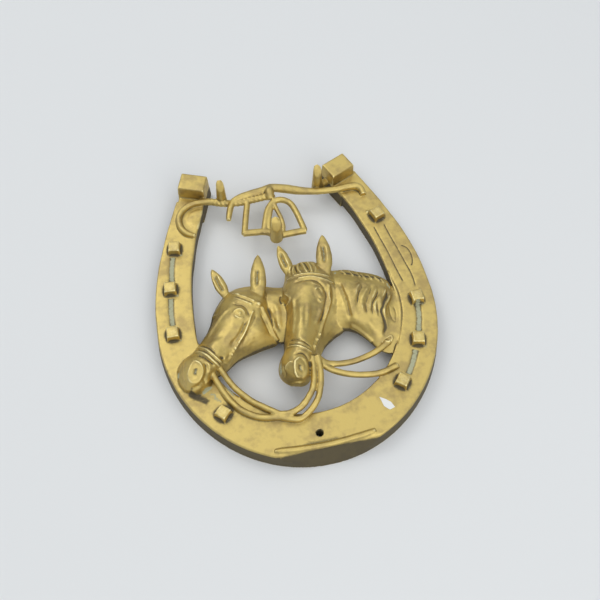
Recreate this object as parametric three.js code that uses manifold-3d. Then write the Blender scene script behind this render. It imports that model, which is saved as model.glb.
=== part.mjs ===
// Cast-brass horseshoe key rack, lying on its back.
//
// One casting: a large horseshoe with a hollow back, a hunting whip across its open heels with
// a pair of stirrups hanging from it, three peg hooks, and two bridled horse heads in high relief
// between the branches, tied to them by the neck, the muzzle and the reins.
//
// Frame, in millimetres: +X across the shoe, +Y from the toe to the heels, +Z up out of the back.
// The back rim lies on z = 0, and the origin is below the middle of the whole casting.

import * as THREE from 'three';
import { mergeVertices } from 'three/addons/utils/BufferGeometryUtils.js';
import Module from 'manifold-3d';

const wasm = await Module();
wasm.setup();

// Driving dimensions.
const TOE_TO_ORIGIN = 89.1; // from the face's toe edge to the origin
const FACE = 11; // height of the shoe's face above the back rim
const HALF_WIDTH = 80; // half of the shoe's width, at its widest
const WIDEST = 80; // height of the widest place above the toe edge
const OUTER_DEPTH = 86.5; // the outer ellipse's reach below the widest place
const INNER_HALF_WIDTH = 58.6;
const INNER_DEPTH = 61;
const HEEL_Y = 171; // where the outer edge ends
const DRAFT = 1.3; // how far the outer wall flares out from face to back
const INNER_DRAFT = -0.4; // the inner wall leans the other way
const TOE_REACH = -8.6; // where the toe's slope meets the back rim
const RIM = 3.2; // wall thickness around the hollow back
const HOLLOW_DRAFT = 0.6; // how far the hollow widens towards the back
const TOE_SPARE = 0.8; // extra wall behind the toe's slope
const PLATE = 3.5; // metal left under the face

// The hole for hanging, and its boss.
const SCREW = { x: -3.2, y: 7.4, hole: 2.1, boss: 5.6, height: 9.5 };
const CLIP_RADIUS = 1.5;
const NAIL = { base: 7.0, top: 5.8, rise: 3.4 };
const CALKIN = { length: 11.5, width: 16, rise: 9, flare: 1.6, pad: 9 };
// A peg. The drop is from its top to the middle of its slanting cut.
const PEG = { base: 2.9, tip: 1.9, top: 30, slant: 62, drop: 1.5 };
const REIN_RADIUS = 1.55;
const STIRRUP_RADIUS = 1.7;
const WHIP_RADIUS = 2.4;
const LASH_RADIUS = 2;
const KNOT_RADIUS = 3;
const RING_RADIUS = 1.9;
const WEB_RADIUS = 2.8;
const LEATHER_RADIUS = 1.3;
const LOCK_RADIUS = 2.6;
const STRAP_RADIUS = 1.1;

// Small helpers -------------------------------------------------------------------------------

function solid(geometry) {
  const plain = geometry.clone();
  plain.deleteAttribute('normal');
  plain.deleteAttribute('uv');
  const merged = mergeVertices(plain, 1e-4);
  return new wasm.Manifold(new wasm.Mesh({
    numProp: 3,
    vertProperties: new Float32Array(merged.attributes.position.array),
    triVerts: new Uint32Array(merged.index.array),
  }));
}

// A closed body through rings of points, each ring with the same count, capped at both ends.
function loft(rings) {
  const count = rings[0].length;
  const points = rings.flat().flat();
  const index = [];
  for (let i = 0; i + 1 < rings.length; i++) {
    for (let j = 0; j < count; j++) {
      const a = i * count + j;
      const b = i * count + ((j + 1) % count);
      index.push(a, b, b + count, a, b + count, a + count);
    }
  }
  const last = (rings.length - 1) * count;
  for (const [a, b, c] of capTriangles(rings[0])) index.push(a, c, b);
  for (const [a, b, c] of capTriangles(rings.at(-1))) index.push(last + a, last + b, last + c);
  const geometry = new THREE.BufferGeometry();
  geometry.setAttribute('position', new THREE.Float32BufferAttribute(points, 3));
  geometry.setIndex(index);
  const body = solid(geometry);
  if (body.volume() > 0) return body;
  const flipped = [];
  for (let k = 0; k < index.length; k += 3) flipped.push(index[k], index[k + 2], index[k + 1]);
  geometry.setIndex(flipped);
  return solid(geometry);
}

// Triangulates a ring in the plane that it fills most of.
function capTriangles(ring) {
  const normal = new THREE.Vector3();
  ring.forEach((p, i) => {
    const q = ring[(i + 1) % ring.length];
    normal.x += (p[1] - q[1]) * (p[2] + q[2]);
    normal.y += (p[2] - q[2]) * (p[0] + q[0]);
    normal.z += (p[0] - q[0]) * (p[1] + q[1]);
  });
  const size = normal.toArray().map(Math.abs);
  const drop = size.indexOf(Math.max(...size));
  const [u, v] = [[1, 2], [2, 0], [0, 1]][drop];
  const flat = ring.map((p) => new THREE.Vector2(p[u], p[v]));
  const up = normal.getComponent(drop) > 0;
  return THREE.ShapeUtils.triangulateShape(flat, []).map(([a, b, c]) => {
    const turn = (flat[b].x - flat[a].x) * (flat[c].y - flat[a].y)
      - (flat[b].y - flat[a].y) * (flat[c].x - flat[a].x);
    return turn > 0 === up ? [a, b, c] : [a, c, b];
  });
}

function curve(points) {
  return new THREE.CatmullRomCurve3(points.map((p) => new THREE.Vector3(...p)), false, 'centripetal');
}

// A round bar along a curve through the points.
function bar(points, radius, steps = Math.round(points.length * 1.6), sides = 8) {
  const section = new THREE.Shape();
  for (let i = 0; i < sides; i++) {
    const angle = (i + 0.5) / sides * 2 * Math.PI;
    section[i ? 'lineTo' : 'moveTo'](radius * Math.cos(angle), radius * Math.sin(angle));
  }
  return solid(new THREE.ExtrudeGeometry(section, { steps, extrudePath: curve(points) }));
}

// A four-sided block that narrows upwards, turned by the angle in degrees.
function block(x, y, z, width, length, height, taper, angle) {
  const corner = [[-1, -1], [1, -1], [1, 1], [-1, 1]];
  const ring = (grow, level) => corner.map(([u, v]) => new THREE.Vector3(
    u * (width + grow) / 2,
    v * (length + grow) / 2,
    level,
  ));
  const turn = new THREE.Matrix4().makeRotationZ(THREE.MathUtils.degToRad(angle)).setPosition(x, y, z);
  return loft([ring(taper, 0), ring(0, height)].map((corners) => corners
    .map((point) => point.applyMatrix4(turn).toArray())));
}

// The horseshoe -------------------------------------------------------------------------------

// The outer or inner edge, from the left heel round the toe to the right heel.
function shoeEdge(halfWidth, depth, branch, grow) {
  const right = [];
  for (let i = 0; i <= 14; i++) {
    const angle = -Math.PI / 2 * (1 - i / 14);
    right.push([(halfWidth + grow) * Math.cos(angle), WIDEST + (depth + grow) * Math.sin(angle)]);
  }
  for (const [x, y] of branch) right.push([x + grow, y]);
  const left = right.slice(1).reverse().map(([x, y]) => [-x, y]);
  return [...left, ...right];
}

// The points that the edges' branches pass through above the ellipses.
const OUTER_BRANCH = [
  [79, 99], [77, 111.5], [73.5, 126], [69.5, 138], [66, 148], [61.5, 159], [56.5, HEEL_Y],
];
const INNER_BRANCH = [[57.5, 100], [54.9, 119], [51.8, 131], [48.5, 143], [44.8, 153], [40.8, 164]];

function shoeSlab(grow, z0, z1, outerDraft, innerDraft) {
  const ring = (z, outward, inward) => {
    const outer = shoeEdge(HALF_WIDTH, OUTER_DEPTH, OUTER_BRANCH, grow + outward);
    const inner = shoeEdge(INNER_HALF_WIDTH, INNER_DEPTH, INNER_BRANCH, -grow - inward);
    return [...outer, ...inner.reverse()].map(([x, y]) => [x, y, z]);
  };
  return loft([ring(z0, outerDraft, innerDraft), ring(z1, 0, 0)]);
}

// What lies outside the toe, which slopes from the clip down to the back rim.
function beyondToe(inset) {
  const foot = TOE_REACH + inset;
  const slope = new THREE.Shape([
    new THREE.Vector2(0.4 + inset, FACE + 1), new THREE.Vector2(foot, 0), new THREE.Vector2(foot, -2),
    new THREE.Vector2(-20, -2), new THREE.Vector2(-20, FACE + 1),
  ]);
  const geometry = new THREE.ExtrudeGeometry(slope, { depth: 2 * HALF_WIDTH, bevelEnabled: false });
  geometry.translate(0, 0, -HALF_WIDTH);
  geometry.rotateX(Math.PI / 2);
  geometry.rotateZ(Math.PI / 2);
  return solid(geometry);
}

const CLIP = [[-28.5, 2.2, FACE], [-12, 0.2, FACE], [3, -0.2, FACE], [26, 2, FACE]];

function horseshoe() {
  const hollow = shoeSlab(-RIM, -1, FACE - PLATE, HOLLOW_DRAFT, HOLLOW_DRAFT)
    .subtract(beyondToe(RIM + TOE_SPARE));
  const upright = (radius, height) => new THREE.CylinderGeometry(radius, radius, height, 12)
    .rotateX(Math.PI / 2)
    .translate(SCREW.x, SCREW.y, height / 2);
  const screwHole = upright(SCREW.hole, 2 * FACE);
  const boss = upright(SCREW.boss, SCREW.height);
  const clip = bar(CLIP, CLIP_RADIUS, 6);
  return shoeSlab(0, 0, FACE, DRAFT, INNER_DRAFT)
    .subtract(hollow)
    .add(solid(boss))
    .subtract(beyondToe(0))
    .add(clip)
    .subtract(solid(screwHole));
}

// Each nail head: place and the turn of its sides in degrees.
const NAILS = [
  [-62.4, 136.4, -10], [-68.6, 109.7, -5], [-71.2, 80.8, -2], [-51.5, 28.3, 44],
  [61.5, 134.6, 22], [69.4, 74.4, 3], [62.9, 48.8, -12], [47.5, 25.9, -38],
];

function nailHeads() {
  return NAILS.map(([x, y, turn]) => block(x, y, FACE - 1, NAIL.top, NAIL.top, NAIL.rise + 1,
    NAIL.base - NAIL.top, turn));
}

const CALKINS = [[-44.6, 176.8, -21], [45.5, 170.7, 24]];

// A calkin is a square block on the heel's end, with the heel's own end pad under and before it.
function calkins() {
  return CALKINS.flatMap(([x, y, turn]) => {
    const angle = THREE.MathUtils.degToRad(turn);
    const back = CALKIN.pad / 2;
    const padX = x + back * Math.sin(angle);
    const padY = y - back * Math.cos(angle);
    const { width, length, rise, flare, pad } = CALKIN;
    return [
      block(x, y, 0, width, length, FACE + rise, flare, turn),
      block(padX, padY, 0, width, length + pad, FACE, flare, turn),
    ];
  });
}

// Peg hooks: tapering stems whose tips are cut off at a slant towards the toe. Each has its
// place, its foot's height and how stout it is.
const PEGS = [[-28.8, 165.4, 9, 1], [30.9, 164, 9, 1.05], [-1.3, 132, 10.5, 1.2]];

function peg([x, y, z, stout]) {
  const height = PEG.top - z;
  const stem = new THREE.CylinderGeometry(PEG.tip * stout, PEG.base * stout, height, 10)
    .rotateX(Math.PI / 2);
  stem.translate(x, y, z + height / 2);
  const slant = new THREE.BoxGeometry(20, 20, 20).translate(0, 0, 10);
  slant.rotateX(THREE.MathUtils.degToRad(PEG.slant));
  slant.translate(x, y + 1, PEG.top - PEG.drop);
  return solid(stem).subtract(solid(slant));
}

// The whip, the ring and the stirrups ---------------------------------------------------------

const WHIP = [
  [57.2, 150.7, 12.5], [55.9, 157.8, 13], [47.2, 157.8, 13.2], [41.4, 157.4, 13.2], [31.4, 158.4, 13],
  [24.2, 160, 13], [17.2, 162.4, 13], [10.9, 165, 13.4], [2.6, 167, 14], [-3.4, 166.5, 13.8],
  [-11, 165.9, 13.4], [-17.5, 164.6, 13.2], [-22.8, 161.8, 13], [-25.6, 155.5, 12.8], [-27.4, 149.5, 12.4],
];
const LASH = [
  [-42, 167, 12], [-35, 164.9, 12.5], [-29.3, 162.6, 12.5], [-23.2, 161.4, 12.5], [-18.3, 160.9, 12.5],
  [-12, 161.1, 12.6], [-4.4, 161.3, 13], [3, 161.8, 13.4],
];
const RING = [
  [-27.4, 162.2, 12.6], [-34.4, 164.5, 12.8], [-42.2, 166, 12.8], [-48.4, 165.4, 12.8], [-53.9, 162.2, 12.6],
  [-56.8, 157, 12.4], [-56.4, 150.6, 12.2], [-53.4, 145.8, 12], [-48.9, 143.4, 11.8],
];

const KNOT = [[2.5, 168, 13], [0.5, 163, 14.6], [0.5, 158.5, 13.4]];
// A web ties the right peg to the whip and to the calkin beside it.
const PEG_WEB = [[30.5, 159, 11.5], [31.4, 163.5, 10.5], [37.5, 167, 9.5]];

function whip() {
  return [
    bar(WHIP, WHIP_RADIUS, 22),
    bar(LASH, LASH_RADIUS, 8),
    bar(KNOT, KNOT_RADIUS, 4),
    bar(RING, RING_RADIUS, 14),
    bar(PEG_WEB, WEB_RADIUS, 4),
  ];
}

const STIRRUP_LEFT = [[-13.6, 161, 12.6], [-15.4, 154.5, 12.6], [-17.2, 148, 12.4], [-19.8, 137.6, 12.2]];
const STIRRUP_ARCH = [
  [-8.2, 135.4, 12.2], [-5.5, 144.7, 12.6], [-2.3, 152.4, 13], [2.2, 156.7, 13.2], [6.9, 157, 13.2],
  [11.4, 153.8, 13], [13.7, 147.6, 12.6], [15.2, 139.5, 12.4], [16.2, 132.6, 12.2],
];
const FOOT_LEFT = [[-20.4, 138.6, 12.2], [-14, 137.9, 12.2], [-7, 136.8, 12.2], [-1.5, 133.4, 12.2]];
const FOOT_RIGHT = [[-1.5, 132.4, 12.2], [6, 132.6, 12.2], [12, 132.7, 12.2], [17, 132.6, 12.2]];
const LEATHERS = [
  [[0.6, 157, 13.2], [-1, 151, 13], [-3.4, 144, 12.8], [-4.6, 138, 12.4], [-4, 133.5, 12.2]],
  [[1.6, 157, 13.2], [2.6, 151, 13], [4, 144, 12.8], [4.2, 138, 12.4], [2.8, 133.5, 12.2]],
];

function stirrups() {
  const bars = [STIRRUP_LEFT, STIRRUP_ARCH, FOOT_LEFT, FOOT_RIGHT];
  return [
    ...bars.map((points) => bar(points, STIRRUP_RADIUS)),
    ...LEATHERS.map((points) => bar(points, LEATHER_RADIUS, 6)),
  ];
}

// The horses ----------------------------------------------------------------------------------

// A relief runs along a line on the plan. Each row crosses it: how far along the row starts at
// its far edge and ends at its near edge, then [across, height] points from edge to edge, and the
// height of the underside.
const LEFT_HEAD = {
  start: [-25, 103], end: [-67, 43],
  rows: [
    { along: [6.5, -5], under: 7, top: [[-8.5, 9], [-4.5, 12], [1, 13], [7, 12.5], [10.5, 9.5]] },
    { along: [12, 7.5], under: 7, top: [[-10.5, 8.5], [-6, 15], [3, 19.5], [12, 19], [18, 13]] },
    { along: [21.5, 17.5], under: 7, top: [[-11, 8.5], [-7, 15], [3, 21.5], [14, 19.5], [24.5, 12.5]] },
    { along: [30, 25], under: 7, top: [[-9.5, 8.5], [-6, 15], [4, 22], [17, 18.5], [31, 9]] },
    { along: [38, 34], under: 7, top: [[-9, 9], [-5, 15.5], [4, 22], [14.5, 17.5], [23.5, 8.5]] },
    { along: [45.5, 44], under: 7, top: [[-9.5, 10], [-5.5, 16], [2.5, 22], [10, 18], [15, 9.5]] },
    { along: [51, 52.5], under: 7, top: [[-10, 10.5], [-6.5, 17], [1.5, 22.5], [8, 19], [11.5, 11]] },
    { along: [57, 59.5], under: 7, top: [[-13, 10.5], [-10, 17], [-1.5, 23.5], [5, 20], [7.5, 11]] },
    { along: [64, 65.5], under: 7, top: [[-13, 10.5], [-10, 17], [-2, 23.5], [5, 19.5], [8, 11]] },
    { along: [70, 69.5], under: 7, top: [[-9, 10.5], [-6.5, 16], [-1, 21], [3.5, 17.5], [6, 11]] },
    { along: [73, 72], under: 7, top: [[-4, 10.5], [-2.5, 14], [0.5, 16.5], [2.5, 14.5], [3.5, 10.5]] },
  ],
};
const RIGHT_HEAD = {
  start: [9, 110], end: [-10, 34],
  rows: [
    { along: [-0.5, -1], under: 9, top: [[-1.5, 13], [1, 14.5], [4, 15], [7, 14.5], [9.5, 13]] },
    { along: [5, 2.5], under: 8, top: [[-8.5, 12], [-4.5, 16], [3.5, 18], [12, 16], [17, 12]] },
    { along: [11.5, 12], under: 7, top: [[-9.5, 11], [-6, 17.5], [4, 22], [14, 19.5], [21.5, 13]] },
    { along: [19.5, 23.5], under: 7, top: [[-11, 10], [-8, 18], [3, 24], [14, 20], [26, 12]] },
    { along: [26.5, 33.5], under: 7, top: [[-10, 9.5], [-6.5, 19], [3, 25], [13, 20], [27, 11.5]] },
    { along: [33, 40.5], under: 7, top: [[-8.5, 9.5], [-5, 19.5], [2, 26], [11, 20], [26, 9]] },
    { along: [43, 46], under: 7, top: [[-8, 9.5], [-5, 20], [1.5, 27], [10, 21], [20, 9]] },
    { along: [51, 52], under: 7.5, top: [[-8, 9.5], [-5, 20.5], [1.5, 27.5], [8.5, 21.5], [15, 9.5]] },
    { along: [57.5, 59.5], under: 9, top: [[-8, 11], [-5.5, 21], [1, 27.5], [7, 22.5], [12, 12]] },
    { along: [64, 67], under: 11, top: [[-10, 13.5], [-7.5, 22], [-0.5, 28], [5.5, 23], [8, 14]] },
    { along: [70.5, 73], under: 12, top: [[-10, 14], [-8, 21.5], [-0.5, 28], [5, 22.5], [7.5, 14.5]] },
    { along: [75, 76.5], under: 13, top: [[-7.5, 14.5], [-5.5, 19.5], [-0.5, 24.5], [4, 20], [5.5, 14.5]] },
    { along: [78, 78], under: 14, top: [[-3, 15.5], [-2, 17.5], [0.5, 19], [2.5, 17.5], [3, 15.5]] },
  ],
};
const RIGHT_NECK = {
  start: [22, 85], end: [60, 66],
  rows: [
    { along: [-5, 7.5], under: 7, top: [[17, 12], [7.5, 15], [-4.5, 15.5], [-14, 14], [-19.5, 9]] },
    { along: [3.5, 13], under: 7, top: [[21, 10], [9, 17], [-2.5, 18], [-11.5, 16], [-17, 9]] },
    { along: [11, 20], under: 7, top: [[21.5, 10], [10, 16.5], [-2, 17.5], [-12.5, 15.5], [-17.5, 9]] },
    { along: [20, 26.5], under: 7, top: [[22, 10], [12, 15], [-1, 16], [-13, 14.5], [-20.5, 9]] },
    { along: [28, 32.5], under: 7, top: [[20, 10], [11, 13.5], [-1.5, 14.5], [-13, 13.5], [-24, 9]] },
    { along: [33, 37], under: 7, top: [[16, 9.5], [9, 11.2], [-1.5, 11.5], [-12.5, 11.2], [-25, 8.5]] },
    { along: [37.5, 43], under: 7, top: [[16, 9.5], [10, 10.5], [0, 10.5], [-11, 10.5], [-24, 8.5]] },
  ],
};
const LEFT_NECK = {
  start: [-15, 83], end: [-1, 83],
  rows: [
    { along: [0, 0], under: 7, top: [[19, 9.5], [12, 13.5], [0, 14.5], [-10, 13.5], [-18, 9]] },
    { along: [5, 5], under: 7, top: [[17, 9.5], [10, 13.5], [0, 14.5], [-12, 13.5], [-19, 9]] },
    { along: [11, 11], under: 7, top: [[16, 9.5], [10, 13.5], [0, 14.5], [-12, 13.5], [-18, 9]] },
    { along: [15, 15], under: 7, top: [[19, 9.5], [12, 13.5], [0, 14.5], [-12, 13.5], [-16, 9]] },
  ],
};

// Turns a relief's rows into closed rings: the top points smoothed, then the two lower corners.
function relief({ start, end, rows }, across = 8, between = 2) {
  const length = Math.hypot(end[0] - start[0], end[1] - start[1]);
  const dir = [(end[0] - start[0]) / length, (end[1] - start[1]) / length];
  const side = [-dir[1], dir[0]];
  const place = (along, offset, z) => [
    start[0] + dir[0] * along + side[0] * offset, start[1] + dir[1] * along + side[1] * offset, z,
  ];
  const profiles = rows.map((row) => {
    const first = row.top[0][0];
    const span = row.top.at(-1)[0] - first;
    const points = curve(row.top.map(([offset, z]) => {
      const t = (offset - first) / span;
      return place(row.along[0] * (1 - t) + row.along[1] * t, offset, z);
    })).getPoints(across).map((p) => p.toArray());
    const low = (p) => [p[0], p[1], row.under];
    return [...points, low(points.at(-1)), low(points[0])];
  });
  const lines = profiles[0].map((_, j) => curve(profiles.map((ring) => ring[j]))
    .getPoints((rows.length - 1) * between));
  const rings = lines[0].map((_, i) => lines.map((line) => line[i].toArray()));
  return loft(rings);
}

// Ears: base, tip, width and thickness.
const EARS = [
  { base: [-37.6, 98.2, 11.5], tip: [-43.2, 116.6, 15], width: 7.2, thickness: 4.2 },
  { base: [-20, 91, 16], tip: [-15, 119.4, 17], width: 9.4, thickness: 4.8 },
  { base: [1.2, 102.6, 14], tip: [-2.2, 123.4, 16.5], width: 7.6, thickness: 4.2 },
  { base: [21, 98.6, 16], tip: [24.8, 124, 18], width: 9.6, thickness: 4.8 },
];

function ear({ base, tip, width, thickness }) {
  const from = new THREE.Vector3(...base);
  const to = new THREE.Vector3(...tip);
  const length = from.distanceTo(to);
  const profile = [[0, 0], [0.34, 0], [0.5, 0.34], [0.42, 0.66], [0.2, 0.9], [0, 1]];
  const geometry = new THREE.LatheGeometry(profile.map(([r, h]) => new THREE.Vector2(r, h * length)), 8);
  geometry.scale(width, 1, thickness);
  const axis = to.clone().sub(from).normalize();
  const up = new THREE.Vector3(0, 0, 1);
  const sideways = new THREE.Vector3().crossVectors(axis, up).normalize();
  const facing = new THREE.Vector3().crossVectors(sideways, axis);
  geometry.applyMatrix4(new THREE.Matrix4().makeBasis(sideways, axis, facing).setPosition(from));
  return solid(geometry);
}

// Bridle straps and raised face details, laid along the relief's surface.
const STRAPS = [
  [[-35, 96.8, 15.5], [-30.5, 93.8, 18.4], [-25.7, 88.8, 19.8], [-20.7, 85.6, 19.4]],
  [[-19.3, 85.2, 18], [-16.6, 76, 15], [-14.8, 70, 13], [-13.2, 65.4, 10.6]],
  [[-61, 69, 13], [-55.5, 61.4, 21.2], [-50.3, 55.4, 20.4], [-47.6, 53.6, 15]],
  [[-28.5, 82, 20.5], [-31, 73.5, 20.6], [-35.2, 67.2, 20.2], [-39.5, 61, 19.4], [-45, 56, 18]],
  [[-1, 99.4, 17], [5, 100.2, 20.4], [10, 99, 21.6], [16, 96.7, 21.2], [22, 94.8, 18.6], [26, 92.4, 15]],
  [[21.5, 93, 18.6], [18.5, 81, 18.8], [12.4, 69.8, 19.4], [7.4, 59.2, 21], [4.4, 51, 20.6]],
  [[-11.4, 57.5, 15], [-8, 53.8, 24.4], [-2.5, 51.4, 26.6], [3, 49.8, 21]],
];

const REINS = [
  [[-49, 54, 15.5], [-46, 47, 14], [-42, 40, 13], [-36.2, 33, 12.5], [-30.4, 27.9, 12.5],
    [-22, 21.4, 13]],
  [[-54, 54, 15], [-51.2, 45, 13.4], [-47.5, 36.5, 12.6], [-43, 29.6, 12.4], [-37.6, 24.8, 12.4],
    [-31, 21.6, 12.4], [-22, 19.6, 13]],
  [[-22, 21.4, 13], [-15.9, 20.8, 14], [-9.4, 23.9, 15], [-3.5, 30.6, 16], [0.3, 38.8, 17.5], [2.5, 48, 19.4]],
  [[-22, 19.6, 13], [-16.7, 17.4, 13], [-11.2, 16.2, 13], [-5.7, 18.6, 14], [-0.3, 24.3, 15],
    [3.6, 32.2, 16], [5.6, 41, 17.2], [4.4, 48, 19.2]],
  [[4, 48, 19], [8.5, 44, 16], [14.9, 42.9, 14], [23, 43, 12.6], [30.6, 44.2, 12.2],
    [38.3, 46.5, 12], [47, 51, 11.6]],
  [[4, 48, 18.6], [7.6, 42.4, 16], [13, 38.6, 14.4], [21.2, 35.4, 13.4], [30.8, 33.6, 12.5], [39, 33.7, 12],
    [47.5, 36, 11.6]],
];

// Locks of the mane lie over the neck in waves, from the crest down.
const MANE = [
  [[38, 99, 11], [36.5, 92, 15.6], [39, 86, 16.4], [37.5, 80, 16.6], [39.5, 75, 15.6]],
  [[43.5, 97, 11], [42, 90, 14.8], [44.5, 84, 15.8], [43, 78, 16], [45, 72, 15]],
  [[48.5, 94, 11], [47.5, 87.5, 14], [49.5, 81, 14.8], [47.5, 74, 14.8], [49.5, 67, 13.8]],
  [[53.5, 89.5, 10.6], [52.5, 83, 12.8], [54, 76.5, 13], [52, 69.5, 12.8], [52.5, 62, 11.8]],
];

function horses() {
  return [
    relief(LEFT_HEAD),
    relief(RIGHT_HEAD),
    relief(RIGHT_NECK, 8, 1),
    relief(LEFT_NECK, 8, 1),
    ...EARS.map(ear),
    ...STRAPS.map((points) => bar(points, STRAP_RADIUS, undefined, 6)),
    ...REINS.map((points) => bar(points, REIN_RADIUS)),
    ...MANE.map((points) => bar(points, LOCK_RADIUS, 8, 6)),
  ];
}

// The casting ---------------------------------------------------------------------------------

const details = [
  ...nailHeads(),
  ...calkins(),
  ...PEGS.map(peg),
  ...whip(),
  ...stirrups(),
  ...horses(),
];
const casting = details.reduce((whole, piece) => whole.add(piece), horseshoe());

const { vertProperties, triVerts } = casting.getMesh();
const castingGeometry = new THREE.BufferGeometry();
castingGeometry.setAttribute('position', new THREE.Float32BufferAttribute(vertProperties, 3));
castingGeometry.setIndex(new THREE.Uint32BufferAttribute(triVerts, 1));
castingGeometry.translate(0, -TOE_TO_ORIGIN, 0);

const brass = new THREE.MeshStandardMaterial({ color: 0xb39a4e, roughness: 0.42, metalness: 0.9 });

const plaque = new THREE.Mesh(castingGeometry, brass);
plaque.name = 'plaque_casting';

const group = new THREE.Group();
group.add(plaque);

export default group;
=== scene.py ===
# Key rack cast in brass: a horseshoe with a hollow back, two bridled horse heads between its
# branches, and a whip with a pair of stirrups and three peg hooks across its open heels.
#
# Lengths are in millimetres while the casting is being shaped: +X across the shoe, +Y from the toe
# edge to the heels, +Z up out of the back. The last steps move it to the frame and to metres.
import math

import bmesh
import bpy
import numpy as np
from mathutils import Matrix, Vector


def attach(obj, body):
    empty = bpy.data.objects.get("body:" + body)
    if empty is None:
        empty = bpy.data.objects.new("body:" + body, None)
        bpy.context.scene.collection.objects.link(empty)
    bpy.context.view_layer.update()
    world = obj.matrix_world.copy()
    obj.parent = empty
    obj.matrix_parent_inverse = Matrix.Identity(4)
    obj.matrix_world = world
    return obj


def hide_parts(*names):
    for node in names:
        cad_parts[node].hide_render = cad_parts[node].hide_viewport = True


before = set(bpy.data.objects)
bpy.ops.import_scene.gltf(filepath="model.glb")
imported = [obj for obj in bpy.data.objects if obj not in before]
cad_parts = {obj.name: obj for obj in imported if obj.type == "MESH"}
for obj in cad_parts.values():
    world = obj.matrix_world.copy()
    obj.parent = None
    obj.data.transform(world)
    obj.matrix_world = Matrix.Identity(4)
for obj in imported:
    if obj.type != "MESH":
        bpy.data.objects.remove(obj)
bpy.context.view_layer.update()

# 1. The horseshoe ----------------------------------------------------------------------------
# A flat face with a softly rounded edge, walls that flare a little towards the back, and a deep
# channel behind. At the toe the outer wall slopes out to the back rim below a raised clip.

TOE_TO_ORIGIN = 89.1  # from the face's toe edge to the frame's origin
FACE = 11.0
HALF_WIDTH, OUTER_DEPTH = 80.0, 86.5
INNER_HALF_WIDTH, INNER_DEPTH = 58.6, 61.0
WIDEST = 80.0  # how far the widest place lies above the toe edge
# The points that the edges pass through above their widest place.
OUTER_BRANCH = [(79, 99), (77, 111.5), (73.5, 126), (69.5, 138), (66, 148), (61.5, 159), (56.5, 171)]
INNER_BRANCH = [(57.5, 100), (54.9, 119), (51.8, 131), (48.5, 143), (44.8, 153), (40.8, 164)]
DRAFT, INNER_LEAN = 1.3, 0.4  # how far each wall's foot stands out from its top edge
RIM, PLATE = 3.2, 3.5  # the wall around the channel, and the metal left under the face
TOE_RUN, TOE_RISE = 9.0, 12.0  # the toe's slope
TOE_EDGE, TOE_SPARE = 0.4, 0.8  # where the slope meets the face, and the extra metal behind it
EDGE_ROUND = 0.7
WALL_LEVELS = (0, 3, 6, 9)
FACE_STRIPS = 9

parts = []  # the closed bodies, in the order that they are made


def smooth(points, per):
    """A centripetal Catmull-Rom curve through the points, with `per` steps in each span."""
    points = np.asarray(points, float)
    lead = 2 * points[0] - points[1]
    tail = 2 * points[-1] - points[-2]
    p = np.vstack([lead, points, tail])
    knots = np.concatenate([[0], np.cumsum(np.linalg.norm(np.diff(p, axis=0), axis=1) ** 0.5 + 1e-9)])
    out = []
    for i in range(1, len(p) - 2):
        t0, t1, t2, t3 = knots[i - 1:i + 3]
        t = np.linspace(t1, t2, per, endpoint=False)[:, None]
        a1 = ((t1 - t) * p[i - 1] + (t - t0) * p[i]) / (t1 - t0)
        a2 = ((t2 - t) * p[i] + (t - t1) * p[i + 1]) / (t2 - t1)
        a3 = ((t3 - t) * p[i + 1] + (t - t2) * p[i + 2]) / (t3 - t2)
        b1 = ((t2 - t) * a1 + (t - t0) * a2) / (t2 - t0)
        b2 = ((t3 - t) * a2 + (t - t1) * a3) / (t3 - t1)
        out.append(((t2 - t) * b1 + (t - t1) * b2) / (t2 - t1))
    return np.vstack(out + [points[-1:]])


def spread(points, count):
    """The same line with `count` points at even distances."""
    steps = np.linalg.norm(np.diff(points, axis=0), axis=1)
    run = np.concatenate([[0], np.cumsum(steps)])
    at = np.linspace(0, run[-1], count)
    return np.stack([np.interp(at, run, points[:, k]) for k in range(points.shape[1])], axis=1)


def add_body(name, points, faces):
    """A new object, listed with the other bodies."""
    mesh = bpy.data.meshes.new(name)
    mesh.from_pydata([tuple(p) for p in points], [], faces)
    body = bpy.data.objects.new(name, mesh)
    bpy.context.collection.objects.link(body)
    parts.append(body)
    return body


def loft(name, rings):
    """A closed body through rings that all have the same number of points."""
    rings = np.asarray(rings, float)
    rows, count = rings.shape[:2]
    faces = []
    for i in range(rows - 1):
        for j in range(count):
            k = (j + 1) % count
            faces.append((i * count + j, i * count + k, (i + 1) * count + k, (i + 1) * count + j))
    faces.append(tuple(reversed(range(count))))
    faces.append(tuple((rows - 1) * count + j for j in range(count)))
    return add_body(name, rings.reshape(-1, 3), faces)


def shoe_edge(half_width, depth, branch, count=170):
    """One edge of the face, from the left heel round the toe to the right heel."""
    angle = np.linspace(-math.pi / 2, 0, 60)
    arc = np.stack([half_width * np.cos(angle), WIDEST + depth * np.sin(angle)], axis=1)
    right = spread(np.vstack([arc[:-1], smooth([arc[-1], *branch], 8)]), count)
    return np.vstack([right[:0:-1] * (-1, 1), right])


def toe_slope(z, inset=0.0):
    """How far out the toe's slope reaches at a height."""
    return TOE_EDGE + inset - (TOE_RISE - z) * TOE_RUN / TOE_RISE


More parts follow.
